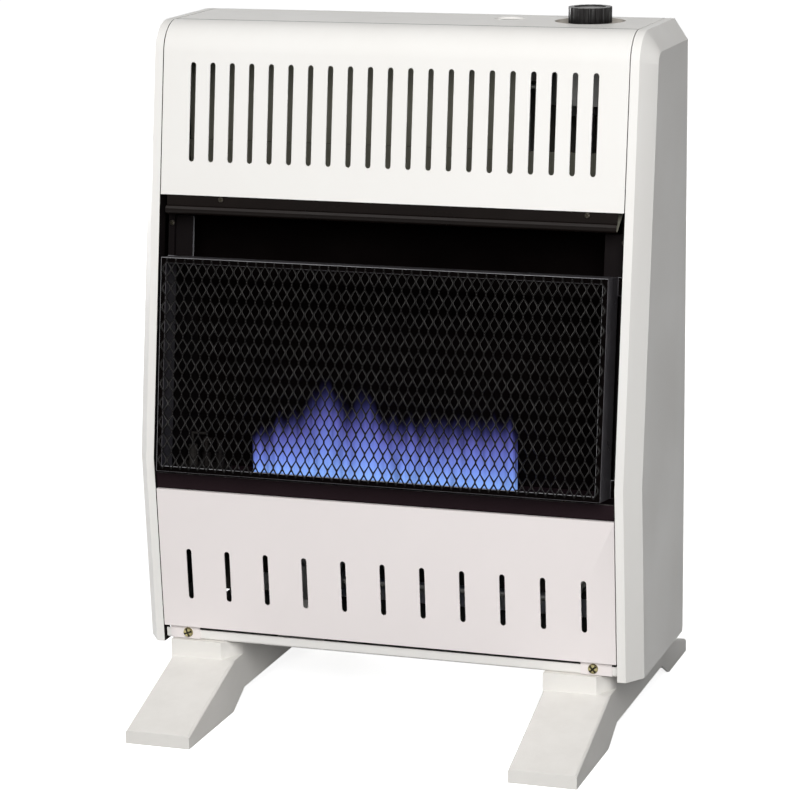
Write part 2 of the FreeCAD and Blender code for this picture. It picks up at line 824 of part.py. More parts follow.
def injector_bracket():
    half = burner_radius
    top = floor_z - lap_gap
    plate = box(injector_x, injector_x + sheet, burner_y - half, burner_y + half, burner_z - half, top)
    tab = box(injector_x, injector_x + tongue, burner_y - half, burner_y + half, top - sheet, top)
    hole = burner_bar(injector_bore, injector_x - tongue, injector_x + tongue)
    return join([plate, tab]).cut(hole)


def injector():
    """Brass jet holder: hexagon behind the bracket and a nozzle toward the mixing tube."""
    seat = injector_x + sheet
    radius = injector_bore - running_gap
    end = seat + 2 * injector_bore
    hexes = hexagon(3 * injector_bore, (seat, burner_y, burner_z), (end, burner_y, burner_z))
    neck = burner_bar(radius, injector_x - injector_bore, seat)
    tip = burner_bar(radius / 2, injector_x - 2 * injector_bore, injector_x - injector_bore)
    return join([hexes, neck, tip])


def pilot_places():
    """The three seats on the pilot bracket: electrode, pilot burner and thermocouple, from left to right."""
    return [(pilot_x + k * pilot_pitch, burner_y) for k in (-2, -1, 0)]


def pilot_bracket():
    """Small folded bracket on the firebox floor that carries the three pilot pieces."""
    left = pilot_x - 2 * pilot_pitch - tongue
    right = pilot_x + tongue / 2
    low = pilot_z + lap_gap
    path = [(burner_y + tongue + tongue, low), (burner_y + tongue, low)]
    path += [(burner_y + tongue, low + tongue), (burner_y - tongue, low + tongue)]
    strap = bent_sheet(path, left, right, -1)
    holes = [bar(pilot_hole, (x, y, 0), (x, y, case_top)) for x, y in pilot_places()]
    return strap.cut(holes)


def floor_passage():
    """The opening in the firebox floor below the pilot pieces."""
    left = pilot_x - 2 * pilot_pitch - tongue / 2
    return box(left, pilot_x + tongue / 2, burner_y - tongue / 2, burner_y + tongue / 2, 0, case_top)


def pilot_burner():
    """Pilot: hexagon below the bracket, stem through it and a nozzle bent toward the burner."""
    x, y = pilot_places()[1]
    base = hexagon(pilot_nut, (x, y, pilot_seat - tongue), (x, y, pilot_seat - sheet))
    stem = bar(pilot_hole - running_gap, (x, y, pilot_seat - sheet), (x, y, pilot_seat + tongue))
    elbow = pilot_seat + 2 * tongue
    nozzle = bent_rod([(x, y, pilot_seat + tongue), (x, y, elbow), (x + tongue / 2, y, elbow)], pilot_tip)
    return join([base, stem, nozzle])


def pilot_electrode():
    x, y = pilot_places()[0]
    top = pilot_seat + insulator_height
    shoulder = bar(pilot_collar, (x, y, pilot_seat - tongue), (x, y, pilot_seat - sheet))
    insulator = bar(pilot_hole - running_gap, (x, y, pilot_seat - sheet), (x, y, top))
    elbow = pilot_seat + spark_height
    wire = bent_rod([(x, y, top), (x, y, elbow), (x + pilot_pitch, y, elbow)], spark_wire)
    return join([shoulder, insulator, wire])


def thermocouple():
    x, y = pilot_places()[2]
    collar = bar(pilot_collar, (x, y, pilot_seat - tongue), (x, y, pilot_seat - sheet))
    probe = bar(pilot_hole - running_gap, (x, y, pilot_seat - sheet), (x, y, pilot_seat + tongue))
    tip = bar(pilot_tip, (x, y, pilot_seat + tongue), (x, y, pilot_seat + 2 * tongue))
    return join([collar, probe, tip])


def control_bracket():
    """Shelf under the top that carries the valve and the igniter, hung on the back panel."""
    front = min(knob_y - valve_length / 2, button_y - 2 * igniter_radius) - 2 * sheet
    rear = back_y - lap_gap
    path = [(front, shelf_top - tongue), (front, shelf_top)]
    path += [(rear, shelf_top), (rear, shelf_top - shelf_flange)]
    shelf = bent_sheet(path, shelf_left, shelf_right, -1)
    bores = [knob_rod(valve_neck + lap_gap, 0, case_top)]
    bores.append(button_rod(igniter_radius - sheet, 0, case_top))
    return shelf.cut(bores)


def valve_body():
    """Cast gas valve: block with an inlet nut below, an outlet nut at the right and a pilot nut."""
    half_x = valve_width / 2
    half_y = valve_length / 2
    block = box(knob_x - half_x, knob_x + half_x, knob_y - half_y, knob_y + half_y, valve_bottom, body_top)
    uprights = [e for e in block.Edges if abs(e.BoundBox.ZLength - (body_top - valve_bottom)) < alike]
    block = block.makeChamfer(half_y / 3, uprights)
    reach = port_reach
    inlet = hexagon(2 * port_radius, (knob_x, knob_y, valve_bottom - reach), (knob_x, knob_y, valve_bottom))
    side_x = knob_x + half_x
    outlet = hexagon(2 * port_radius, (side_x, knob_y, valve_mid), (side_x + reach, knob_y, valve_mid))
    pilot_y = knob_y - half_y / 2
    far_x = knob_x - half_x
    pilot = hexagon(port_radius, (far_x - reach, pilot_y, valve_mid), (far_x, pilot_y, valve_mid))
    magnet_x = knob_x - half_x / 2
    magnet_end = valve_bottom - reach
    magnet = hexagon(magnet_across, (magnet_x, pilot_y, magnet_end), (magnet_x, pilot_y, valve_bottom))
    bore = knob_rod(plunger_radius + running_gap, chamber_floor, body_top)
    return join([block, inlet, outlet, pilot, magnet]).cut(bore)


def valve_bonnet():
    """Flanged guide of the stem, on top of the valve and through the shelf."""
    flange = hexagon(2 * bonnet_radius, (knob_x, knob_y, body_top), (knob_x, knob_y, valve_top))
    neck = knob_rod(valve_neck, valve_top, neck_top)
    bore = knob_rod(stem_radius + running_gap, body_top, neck_top)
    return join([flange, neck]).cut(bore)


def valve_plunger():
    return knob_rod(plunger_radius, plunger_bottom, plunger_top)


def valve_stem():
    """Round stem with a flat at its upper end for the knob."""
    shaft = knob_rod(stem_radius, stem_bottom, stem_top)
    flat = box(knob_x - stem_radius, knob_x + stem_radius, knob_y + stem_radius / 2, knob_y + 2 * stem_radius,
               knob_bottom, stem_top)
    return shaft.cut(flat)


def knob_outline():
    """Points round the knob: a flat ridge and a narrower groove, repeated."""
    points = []
    step = 2 * math.pi / knob_flutes
    for k in range(knob_flutes):
        for share, depth in ((0.0, 0.0), (0.5, 0.0), (0.65, flute_depth), (0.85, flute_depth)):
            angle = (k + share) * step
            radius = knob_radius - depth
            points.append(Vector(radius * math.cos(angle), radius * math.sin(angle), 0))
    outline = Part.makePolygon(points + points[:1])
    outline.translate(Vector(knob_x, knob_y, knob_bottom))
    return outline


def control_knob():
    """Fluted knob, hollow below, with a hub on the stem and a dished top."""
    wall = knob_wall
    form = Part.Face(knob_outline()).extrude(Vector(0, 0, knob_height))
    dish = knob_rod(knob_radius - 2 * wall, knob_top - sheet, knob_top)
    roof = knob_top - sheet - wall
    hollow = bar(knob_radius - wall, (knob_x, knob_y, knob_bottom), (knob_x, knob_y, roof), knob_flutes)
    hub = bar(stem_radius + wall, (knob_x, knob_y, knob_bottom), (knob_x, knob_y, roof), knob_flutes)
    bore = knob_rod(stem_radius + running_gap, knob_bottom, stem_top + running_gap)
    half = stem_radius + running_gap
    flat_y = knob_y + stem_radius / 2 + running_gap
    key = box(knob_x - half, knob_x + half, flat_y, knob_y + 2 * half, knob_bottom, stem_top + half)
    return form.cut([dish, hollow.cut(hub), bore.cut(key)])


def igniter_body():
    """Piezo unit below the shelf with a threaded neck through it and a bore for the button's stem."""
    low = igniter_top - igniter_length
    case = button_rod(igniter_radius, low, igniter_top - nut_height)
    collar = hexagon(nut_across, (button_x, button_y, igniter_top - nut_height),
                     (button_x, button_y, igniter_top - lap_gap))
    neck_radius = igniter_radius - sheet - lap_gap
    neck = button_rod(neck_radius, igniter_top - lap_gap, guide_top)
    terminal = bar(lead_radius * 1.5, (button_x, button_y, low - nut_height), (button_x, button_y, low))
    floor = guide_top - guide_length
    bore = button_rod(guide_radius + running_gap, floor, guide_top)
    return join([case, collar, neck, terminal]).cut(bore)


def igniter_nut():
    nut = hexagon(nut_across, (button_x, button_y, shelf_top), (button_x, button_y, shelf_top + nut_height))
    neck_radius = igniter_radius - sheet - lap_gap + running_gap
    return nut.cut(button_rod(neck_radius, 0, case_top))


def igniter_button():
    cap = button_rod(button_radius, button_bottom, button_top)
    low = guide_top - guide_length + button_travel + end_play / 2
    return join([cap, button_rod(guide_radius, low, button_bottom)])


def igniter_lead():
    """Insulated lead from the igniter, down behind the firebox and under its floor to the electrode."""
    x, y = pilot_places()[0]
    top = igniter_top - igniter_length - nut_height
    low = floor_z - line_drop
    run_y = burner_y + line_back + 2 * line_pitch
    route = [(button_x, button_y, top), (button_x, button_y, low), (button_x, run_y, low)]
    route += [(x, run_y, low), (x, y, low), (x, y, pilot_seat - tongue)]
    return bent_rod(route, lead_radius)


def gas_inlet():
    """Inlet fitting: a nipple from the regulator, a hexagon on the back panel and a spigot behind it."""
    x, z = regulator_x, regulator_height
    start = regulator_y + regulator_half
    seat = rear_y + lap_gap
    collar = seat + inlet_collar
    end = collar + inlet_reach
    nipple = bar(inlet_radius - inlet_wall, (x, start, z), (x, seat, z))
    nut = hexagon(2 * (inlet_radius + inlet_wall), (x, seat, z), (x, collar, z))
    spigot = rod(inlet_radius, (x, collar, z), (x, end, z))
    bore = rod(inlet_radius - 2 * inlet_wall, (x, start, z), (x, end, z))
    return join([nipple, nut, spigot]).cut(bore)


def regulator():
    """Pressure regulator: square body, round stepped diaphragm case, spring cap and outlet nut."""
    x, y, z = regulator_x, regulator_y, regulator_height
    half = regulator_half
    top = z + regulator_tall / 2
    block = box(x - half, x + half, y - half, y + half, z - regulator_tall / 2, top)
    uprights = [e for e in block.Edges if abs(e.BoundBox.ZLength - regulator_tall) < alike]
    block = block.makeChamfer(half / 6, uprights)
    step = regulator_step
    rim = bar(regulator_rim, (x, y, top), (x, y, top + step), round_sides)
    dome = bar(half, (x, y, top + step), (x, y, top + 3 * step), round_sides)
    cap = hexagon(regulator_cap, (x, y, top + 3 * step), (x, y, top + 4 * step))
    outlet = hexagon(2 * port_radius, (x + half, y, z), (x + half + regulator_port, y, z))
    return join([block, rim, dome, cap, outlet])


def regulator_bracket():
    """Folded stand on the base pan under the regulator."""
    low = base_z + sheet + lap_gap
    top = regulator_height - regulator_tall / 2 - lap_gap
    front = regulator_y - regulator_half
    rear = regulator_y + regulator_half
    path = [(front - 2 * tongue, low + sheet), (front, low + sheet), (front, top), (rear, top)]
    return bent_sheet(path, regulator_x - regulator_half, regulator_x + regulator_half, -1)


def inlet_tube():
    z = regulator_height
    start = regulator_x + regulator_half + regulator_port
    route = [(start, regulator_y, z), (knob_x, regulator_y, z), (knob_x, knob_y, z)]
    route += [(knob_x, knob_y, valve_bottom - port_reach)]
    return bent_rod(route, line_radius)


def burner_line():
    start = knob_x + valve_width / 2 + port_reach
    far = side_plate_x + line_radius
    jet = injector_x + sheet + 2 * injector_bore
    route = [(start, knob_y, valve_mid), (far, knob_y, valve_mid), (far, knob_y, burner_z)]
    route += [(far, burner_y, burner_z), (jet, burner_y, burner_z)]
    return bent_rod(route, line_radius)


def pilot_line():
    x, y = pilot_places()[1]
    start = knob_x - valve_width / 2 - port_reach
    fall_x = start - port_reach
    side_y = knob_y - valve_length / 4
    low = floor_z - line_drop
    run_y = burner_y + line_back + line_pitch
    route = [(start, side_y, valve_mid), (fall_x, side_y, valve_mid), (fall_x, side_y, low)]
    route += [(fall_x, run_y, low), (x, run_y, low), (x, y, low), (x, y, pilot_seat - tongue)]
    return bent_rod(route, pilot_line_radius)


def thermocouple_lead():
    x, y = pilot_places()[2]
    start_x = knob_x - valve_width / 4
    start_y = knob_y - valve_length / 4
    low = floor_z - line_drop
    run_y = burner_y + line_back
    route = [(start_x, start_y, valve_bottom - port_reach), (start_x, start_y, low), (start_x, run_y, low)]
    route += [(x, run_y, low), (x, y, low), (x, y, pilot_seat - tongue)]
    return bent_rod(route, lead_radius)


def build():
    right_side = side_panel()
    right_foot = foot()
    right_foot.translate(Vector(foot_spacing / 2, 0, 0))
    right_plate = firebox_side()
    return {
        "left_side_panel": mirrored(right_side),
        "right_side_panel": right_side,
        "top_panel": top_panel(),
        "upper_front_panel": upper_front_panel(),
        "lower_front_panel": lower_front_panel(),
        "back_panel": back_panel(),
        "base_pan": base_pan(),
        "left_foot": right_foot.translated(Vector(-foot_spacing, 0, 0)),
        "right_foot": right_foot,
        "firebox_floor": firebox_floor().cut(floor_passage()),
        "firebox_left_side": mirrored(right_plate),
        "firebox_right_side": right_plate,
        "firebox_back": firebox_back(),
        "hood": hood(),
        "upper_baffle": upper_baffle(),
        "guard_frame": guard_frame(),
        "guard_mesh": guard_mesh(),
        "burner_tube": burner_tube(),
        "burner_left_saddle": burner_saddle(burner_left + sheet),
        "burner_right_saddle": burner_saddle(burner_right - tongue - sheet),
        "venturi": venturi(),
        "injector_bracket": injector_bracket(),
        "injector": injector(),
        "pilot_bracket": pilot_bracket(),
        "pilot_burner": pilot_burner(),
        "pilot_electrode": pilot_electrode(),
        "thermocouple": thermocouple(),
        "control_bracket": control_bracket(),
        "valve_body": valve_body(),
        "valve_bonnet": valve_bonnet(),
        "valve_plunger": valve_plunger(),
        "valve_stem": valve_stem(),
        "control_knob": control_knob(),
        "igniter_body": igniter_body(),
        "igniter_nut": igniter_nut(),
        "igniter_button": igniter_button(),
        "igniter_lead": igniter_lead(),
        "gas_inlet": gas_inlet(),
        "regulator": regulator(),
        "regulator_bracket": regulator_bracket(),
        "inlet_tube": inlet_tube(),
        "burner_line": burner_line(),
        "pilot_line": pilot_line(),
        "thermocouple_lead": thermocouple_lead(),
        "panel_screws": on_lower(screws(panel_screws_at, (0, 1, 0), panel_return)),
    }


def main():
    os.makedirs("parts", exist_ok=True)
    for name, shape in build().items():
        shape.exportStep(os.path.join("parts", name + ".step"))


main()
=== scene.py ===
import json
import math

import bmesh
import bpy
from mathutils import Matrix, Vector


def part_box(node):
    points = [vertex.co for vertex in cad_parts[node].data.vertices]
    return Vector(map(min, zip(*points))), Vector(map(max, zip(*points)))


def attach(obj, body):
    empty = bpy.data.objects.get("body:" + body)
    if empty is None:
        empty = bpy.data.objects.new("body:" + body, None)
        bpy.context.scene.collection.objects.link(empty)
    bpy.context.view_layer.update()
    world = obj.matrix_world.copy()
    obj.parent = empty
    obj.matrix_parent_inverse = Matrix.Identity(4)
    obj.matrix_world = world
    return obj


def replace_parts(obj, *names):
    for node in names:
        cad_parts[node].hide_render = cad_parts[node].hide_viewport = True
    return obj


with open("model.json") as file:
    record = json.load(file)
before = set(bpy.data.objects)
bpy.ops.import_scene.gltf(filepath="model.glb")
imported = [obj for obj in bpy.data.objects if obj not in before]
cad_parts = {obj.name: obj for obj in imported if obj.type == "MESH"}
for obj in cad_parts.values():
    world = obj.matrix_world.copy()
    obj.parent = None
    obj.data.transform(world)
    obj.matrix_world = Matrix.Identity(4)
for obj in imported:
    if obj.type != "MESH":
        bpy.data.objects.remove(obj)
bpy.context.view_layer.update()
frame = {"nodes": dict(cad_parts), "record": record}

pieces = frame["nodes"]
body_of = {node: body for body, held in frame["record"]["behaviour"]["bodies"].items() for node in held}

# Lengths are in metres, the lens in millimetres and angles in degrees, in the heater's own frame.
camera_place = (0.833, -2.507, 0.888)
camera_turn = 18.66
camera_tilt = -13.03
camera_roll = -0.72
camera_lens = 136.7

upper_lean = 7.8
lower_lean = 4.0
cabinet_middle = (0.0, 0.0, 0.3)
knob_recess_reach = 0.045
sheet = 0.001
sheet_edge = 0.0004
flange_set_back = 0.0203
flange_width = 0.016
flange_hem = 0.003
flange_overlap = 0.008
flange_recess = 4 * sheet

# Size and place of the dark strip painted as the shadow in the seam under the top panel's front edge.
seam_width = 0.0009
seam_thickness = seam_width / 4
seam_drop = seam_width / 16

hood_bead_radius = 0.004
hood_bead_step = 18
hood_flange_rise = 0.020
hood_flange_end = 2.4 * hood_bead_radius
hood_panel_gap = 1.1 * sheet
hood_roof_rise = 0.038
hood_inner_reach = 4 * hood_bead_radius

foot_edge = 0.0012
button_edge = 0.0012
knob_edge = 0.0005
casting_edge = 0.0006
weld_distance = 0.000005
flat_angle = 0.4
fold_angle = 30.0
round_angle = 40.0

# Least cosine between a face and a direction for the face to count as turned that way.
facing_flat = 0.95
facing_slant = 0.85
facing_roof = 0.5
facing_inward = 0.3
facing_recess = -0.5
bead_sheen_direction = (0, -0.82, 0.57)

diamond_width = 0.0084
diamond_height = 0.0170
strand_width = 0.0014
strand_thickness = 0.0009
strand_tilt = 35.0
bond_length = 0.0018
# A thin wire along each strand's inner edge, painted as the strand's highlight: its width and the share of
# the ring it follows.
highlight_wire_width = 0.0003
highlight_wire_ring = 0.86
net_lift = 0.0017

small_head_radius = 0.0024
small_head_height = 0.0014
panel_head_radius = 0.0045
panel_head_height = 0.0024
hood_screws_x = (-0.153, 0.178)
hood_screw_drop = 0.003
flange_screw_drop = 0.011
back_screw_inset = 0.007
back_screw_shares = (0.08, 0.34, 0.60, 0.86)
back_screw_x = 0.105

# A screw head's outline and cross recess, in shares of its radius and height.
head_outline = ((0.0, 1.0), (0.60, 0.97), (0.88, 0.80), (0.98, 0.45), (1.0, 0.0), (0.0, 0.0))
head_sides = 20
cross_length = 1.25
cross_width = 0.34
cross_depth = 1.3
cross_mark_radius = 0.70
cross_mark_low = 0.05
cross_mark_high = 0.93

flame_left = -0.131
flame_right = 0.111
flame_height = 0.062
flame_lift = 0.006
flame_layers = 4
flame_layer_gap = 0.004
flame_layer_drop = 0.07
flame_columns = 150
flame_steps = 14
# Each rise of the flame's top: its height, its place and its spread.
flame_rises = ((0.032, -0.061, 0.017), (0.027, -0.024, 0.011), (0.005, 0.055, 0.040),
               (-0.022, flame_left, 0.022), (0.006, flame_right, 0.030))
flame_ripple = 0.0035
# Each wave along the flame's top: its share, radians to the metre, shift from layer to layer and start.
flame_waves = ((1.0, 410.0, 1.9, 7), (0.6, 760.0, 2.7, 0))
# Wave to front and back, at the foot and at the tip: its reach, radians to the metre and shift by layer.
flame_foot_sway = (0.0022, 230.0, 2.1)
flame_tip_sway = (0.002, 95.0, 1.0)

# Lamps: name, place, size and power in watts, all turned to the same target.
lamp_target = (0.0, 0.0, 0.32)
lamps = (("key", (0.87, -2.70, 1.83), 1.7, 110.0), ("fill", (-3.0, -0.5, 0.9), 1.8, 30.0),
         ("top", (-0.3, 0.6, 3.0), 1.6, 5.0), ("rear", (-2.5, 2.2, 0.5), 1.7, 60.0))

# Light of the surroundings and floor, and how the floor's glow grows with distance.
surroundings_light = 0.03
floor_reach = 14.0
floor_bounce = 0.16
floor_seen = 0.86
floor_near = 0.9
floor_far = 2.4
floor_glow_near = 0.84
floor_glow_far = 1.0


def add_node(tree, kind, values=None, **settings):
    """Adds a node to a tree and sets its properties and unlinked inputs."""
    made = tree.nodes.new(kind)
    for key, value in settings.items():
        setattr(made, key, value)
    for key, value in (values or {}).items():
        made.inputs[key].default_value = value
    return made


def join(tree, source, target):
    """Links one socket to another."""
    tree.links.new(source, target)


def new_group(name, kind, inputs, outputs):
    """A node group with named sockets; gives the tree, its input node and its output node."""
    tree = bpy.data.node_groups.new(name, kind)
    for label, socket, default in inputs:
        made = tree.interface.new_socket(label, in_out="INPUT", socket_type=socket)
        if default is not None:
            made.default_value = default
    for label, socket in outputs:
        tree.interface.new_socket(label, in_out="OUTPUT", socket_type=socket)
    return tree, tree.nodes.new("NodeGroupInput"), tree.nodes.new("NodeGroupOutput")


def coat_grain_group():
    """Unevenness of a surface: a fine height for bump and a broad mottle for colour and gloss."""
    inputs = [("Vector", "NodeSocketVector", None), ("Fine Scale", "NodeSocketFloat", 900.0),
              ("Broad Scale", "NodeSocketFloat", 14.0)]
    tree, given, made = new_group("coat_grain", "ShaderNodeTree", inputs,
                                  [("Height", "NodeSocketFloat"), ("Mottle", "NodeSocketFloat")])
    fine = add_node(tree, "ShaderNodeTexNoise", {"Detail": 2.0, "Roughness": 0.5})
    broad = add_node(tree, "ShaderNodeTexNoise", {"Detail": 4.0, "Roughness": 0.6})
    spread = add_node(tree, "ShaderNodeMapRange", {"From Min": 0.3, "From Max": 0.7})
    for noise, scale in ((fine, "Fine Scale"), (broad, "Broad Scale")):
        join(tree, given.outputs["Vector"], noise.inputs["Vector"])
        join(tree, given.outputs[scale], noise.inputs["Scale"])
    join(tree, broad.outputs["Fac"], spread.inputs["Value"])
    join(tree, fine.outputs["Fac"], made.inputs["Height"])
    join(tree, spread.outputs["Result"], made.inputs["Mottle"])
    return tree


def settled_dust_group():
    """Dust on faces that look up, broken by a cloudy pattern."""
    inputs = [("Vector", "NodeSocketVector", None), ("Amount", "NodeSocketFloat", 0.2)]
    tree, given, made = new_group("settled_dust", "ShaderNodeTree", inputs, [("Mask", "NodeSocketFloat")])
    surface = add_node(tree, "ShaderNodeNewGeometry")
    parts = add_node(tree, "ShaderNodeSeparateXYZ")
    facing = add_node(tree, "ShaderNodeMapRange", {"From Min": 0.35, "From Max": 1.0})
    cloud = add_node(tree, "ShaderNodeTexNoise", {"Scale": 45.0, "Detail": 5.0, "Roughness": 0.65})
    patch = add_node(tree, "ShaderNodeMapRange", {"From Min": 0.38, "From Max": 0.68})
    both = add_node(tree, "ShaderNodeMath", operation="MULTIPLY")
    scaled = add_node(tree, "ShaderNodeMath", operation="MULTIPLY")
    join(tree, surface.outputs["Normal"], parts.inputs["Vector"])
    join(tree, parts.outputs["Z"], facing.inputs["Value"])
    join(tree, given.outputs["Vector"], cloud.inputs["Vector"])
    join(tree, cloud.outputs["Fac"], patch.inputs["Value"])
    join(tree, facing.outputs["Result"], both.inputs[0])
    join(tree, patch.outputs["Result"], both.inputs[1])
    join(tree, both.outputs["Value"], scaled.inputs[0])
    join(tree, given.outputs["Amount"], scaled.inputs[1])
    join(tree, scaled.outputs["Value"], made.inputs["Mask"])
    return tree


def scuff_group():
    """Sparse rub marks: thin streaks where two stretched patterns meet."""
    inputs = [("Vector", "NodeSocketVector", None), ("Amount", "NodeSocketFloat", 0.3)]
    tree, given, made = new_group("scuffs", "ShaderNodeTree", inputs, [("Mask", "NodeSocketFloat")])
    stretch = add_node(tree, "ShaderNodeMapping", {"Scale": (60.0, 60.0, 420.0)})
    streaks = add_node(tree, "ShaderNodeTexNoise", {"Scale": 1.0, "Detail": 3.0, "Roughness": 0.6})
    where = add_node(tree, "ShaderNodeTexNoise", {"Scale": 22.0, "Detail": 2.0})
    thin = add_node(tree, "ShaderNodeMapRange", {"From Min": 0.60, "From Max": 0.75})
    spots = add_node(tree, "ShaderNodeMapRange", {"From Min": 0.50, "From Max": 0.70})
    both = add_node(tree, "ShaderNodeMath", operation="MULTIPLY")
    scaled = add_node(tree, "ShaderNodeMath", operation="MULTIPLY")
    join(tree, given.outputs["Vector"], stretch.inputs["Vector"])
    join(tree, stretch.outputs["Vector"], streaks.inputs["Vector"])
    join(tree, given.outputs["Vector"], where.inputs["Vector"])
    join(tree, streaks.outputs["Fac"], thin.inputs["Value"])
    join(tree, where.outputs["Fac"], spots.inputs["Value"])
    join(tree, thin.outputs["Result"], both.inputs[0])
    join(tree, spots.outputs["Result"], both.inputs[1])
    join(tree, both.outputs["Value"], scaled.inputs[0])
    join(tree, given.outputs["Amount"], scaled.inputs[1])
    join(tree, scaled.outputs["Value"], made.inputs["Mask"])
    return tree


coat_grain = coat_grain_group()
settled_dust = settled_dust_group()
scuffs = scuff_group()


def placed_group(tree, group, coords, values):
    """Places a shared group in a material, on the piece's own coordinates."""
    made = add_node(tree, "ShaderNodeGroup", node_tree=group)
    for key, value in values.items():
        made.inputs[key].default_value = value
    join(tree, coords.outputs["Object"], made.inputs["Vector"])
    return made


def mixed(tree, factor, first, second):
    """A colour mix; first is a colour or a socket, second is a colour."""
    mix = add_node(tree, "ShaderNodeMix", data_type="RGBA")
    join(tree, factor, mix.inputs["Factor"])
    if isinstance(first, tuple):
        mix.inputs["A"].default_value = (*first, 1.0)
    else:
        join(tree, first, mix.inputs["A"])
    mix.inputs["B"].default_value = (*second, 1.0)
    return mix.outputs["Result"]


def new_material(name):
    """A material with nodes; gives it, its tree, its shader and its coordinates."""
    material = bpy.data.materials.new(name)
    material.use_nodes = True
    tree = material.node_tree
    return material, tree, tree.nodes["Principled BSDF"], add_node(tree, "ShaderNodeTexCoord")


def surface(name, colour, shade, gloss, grain, bump, metal=0.0, specular=0.5,
            dust=0.0, dust_colour=(0.40, 0.37, 0.33), wear=0.0, wear_colour=(0.45, 0.44, 0.42)):
    """One finish: mottled colour and gloss, fine bump, and dust and scuffs where they are asked for."""
    material, tree, shader, coords = new_material(name)
    texture = placed_group(tree, coat_grain, coords, {"Fine Scale": grain[0], "Broad Scale": grain[1]})
    colours = mixed(tree, texture.outputs["Mottle"], colour, shade)
    if wear:
        marks = placed_group(tree, scuffs, coords, {"Amount": wear})
        colours = mixed(tree, marks.outputs["Mask"], colours, wear_colour)
    if dust:
        film = placed_group(tree, settled_dust, coords, {"Amount": dust})
        colours = mixed(tree, film.outputs["Mask"], colours, dust_colour)
    join(tree, colours, shader.inputs["Base Color"])
    rough = add_node(tree, "ShaderNodeMapRange", {"To Min": gloss[0], "To Max": gloss[1]})
    join(tree, texture.outputs["Mottle"], rough.inputs["Value"])
    join(tree, rough.outputs["Result"], shader.inputs["Roughness"])
    relief = add_node(tree, "ShaderNodeBump", {"Strength": 1.0, "Distance": bump})
    join(tree, texture.outputs["Height"], relief.inputs["Height"])
    join(tree, relief.outputs["Normal"], shader.inputs["Normal"])
    shader.inputs["Metallic"].default_value = metal
    shader.inputs["Specular IOR Level"].default_value = specular
    return material


def flame_material():
    """Blue gas flame: pale at its foot, violet and clear at its tips, with upright streaks."""
    material, tree, shader, coords = new_material("blue_flame")
    up = add_node(tree, "ShaderNodeSeparateXYZ")
    join(tree, coords.outputs["UV"], up.inputs["Vector"])
    glow = add_node(tree, "ShaderNodeValToRGB")
    stops = ((0.0, (0.19, 0.34, 0.74)), (0.30, (0.13, 0.19, 0.56)),
             (0.62, (0.085, 0.090, 0.33)), (1.0, (0.03, 0.028, 0.12)))
    ramp = glow.color_ramp
    while len(ramp.elements) < len(stops):
        ramp.elements.new(1.0)
    for element, (place, colour) in zip(ramp.elements, stops):
        element.position = place
        element.color = (*colour, 1.0)
    join(tree, up.outputs["Y"], glow.inputs["Fac"])
    join(tree, glow.outputs["Color"], shader.inputs["Emission Color"])
    shader.inputs["Emission Strength"].default_value = 1.6
    shader.inputs["Base Color"].default_value = (0.0, 0.0, 0.0, 1.0)
    shader.inputs["Specular IOR Level"].default_value = 0.0
    stretch = add_node(tree, "ShaderNodeMapping", {"Scale": (210.0, 40.0, 22.0)})
    streaks = add_node(tree, "ShaderNodeTexNoise", {"Scale": 1.0, "Detail": 2.0})
    body = add_node(tree, "ShaderNodeMapRange",
                    {"From Min": 0.35, "From Max": 0.70, "To Min": 0.25, "To Max": 1.0})
    fade = add_node(tree, "ShaderNodeMapRange",
                    {"From Min": 0.45, "From Max": 1.0, "To Min": 0.62, "To Max": 0.0},
                    interpolation_type="SMOOTHSTEP")
    clear = add_node(tree, "ShaderNodeMath", operation="MULTIPLY")
    join(tree, coords.outputs["Object"], stretch.inputs["Vector"])
    join(tree, stretch.outputs["Vector"], streaks.inputs["Vector"])
    join(tree, streaks.outputs["Fac"], body.inputs["Value"])
    join(tree, up.outputs["Y"], fade.inputs["Value"])
    join(tree, body.outputs["Result"], clear.inputs[0])
    join(tree, fade.outputs["Result"], clear.inputs[1])
    join(tree, clear.outputs["Value"], shader.inputs["Alpha"])
    return material


# Fine and broad scale of the grain of each kind of surface, and the colour that rubbed enamel takes.
enamel_grain = (620.0, 9.0)
paint_grain = (1300.0, 18.0)
guard_grain = (1600.0, 40.0)
inner_grain = (800.0, 12.0)
screw_grain = (2000.0, 160.0)
control_grain = (1800.0, 50.0)
enamel_rub = (0.70, 0.68, 0.64)

cream = surface("cream_enamel", (0.845, 0.832, 0.805), (0.825, 0.808, 0.778), gloss=(0.36, 0.46),
                grain=enamel_grain, bump=0.00003, specular=0.12, dust=0.05, wear=0.05,
                wear_colour=enamel_rub)
# The cream enamel made darker and pinker for the lower front panel.
lower_cream = surface("lower_panel_enamel", (0.86, 0.805, 0.795), (0.84, 0.785, 0.775),
                      gloss=(0.36, 0.46), grain=enamel_grain, bump=0.00003, specular=0.12, dust=0.05,
                      wear=0.05, wear_colour=enamel_rub)
foot_finish = surface("foot_moulding", (0.80, 0.78, 0.745), (0.77, 0.75, 0.715), gloss=(0.42, 0.52),
                      grain=(1500.0, 12.0), bump=0.00005, specular=0.12, dust=0.10, wear=0.08,
                      wear_colour=(0.62, 0.60, 0.56))
stove_black = surface("stove_black", (0.0020, 0.0014, 0.0014), (0.0034, 0.0025, 0.0024),
                      gloss=(0.48, 0.62), grain=paint_grain, bump=0.00004, specular=0.0, dust=0.04,
                      dust_colour=(0.03, 0.024, 0.02), wear=0.10, wear_colour=(0.012, 0.010, 0.010))
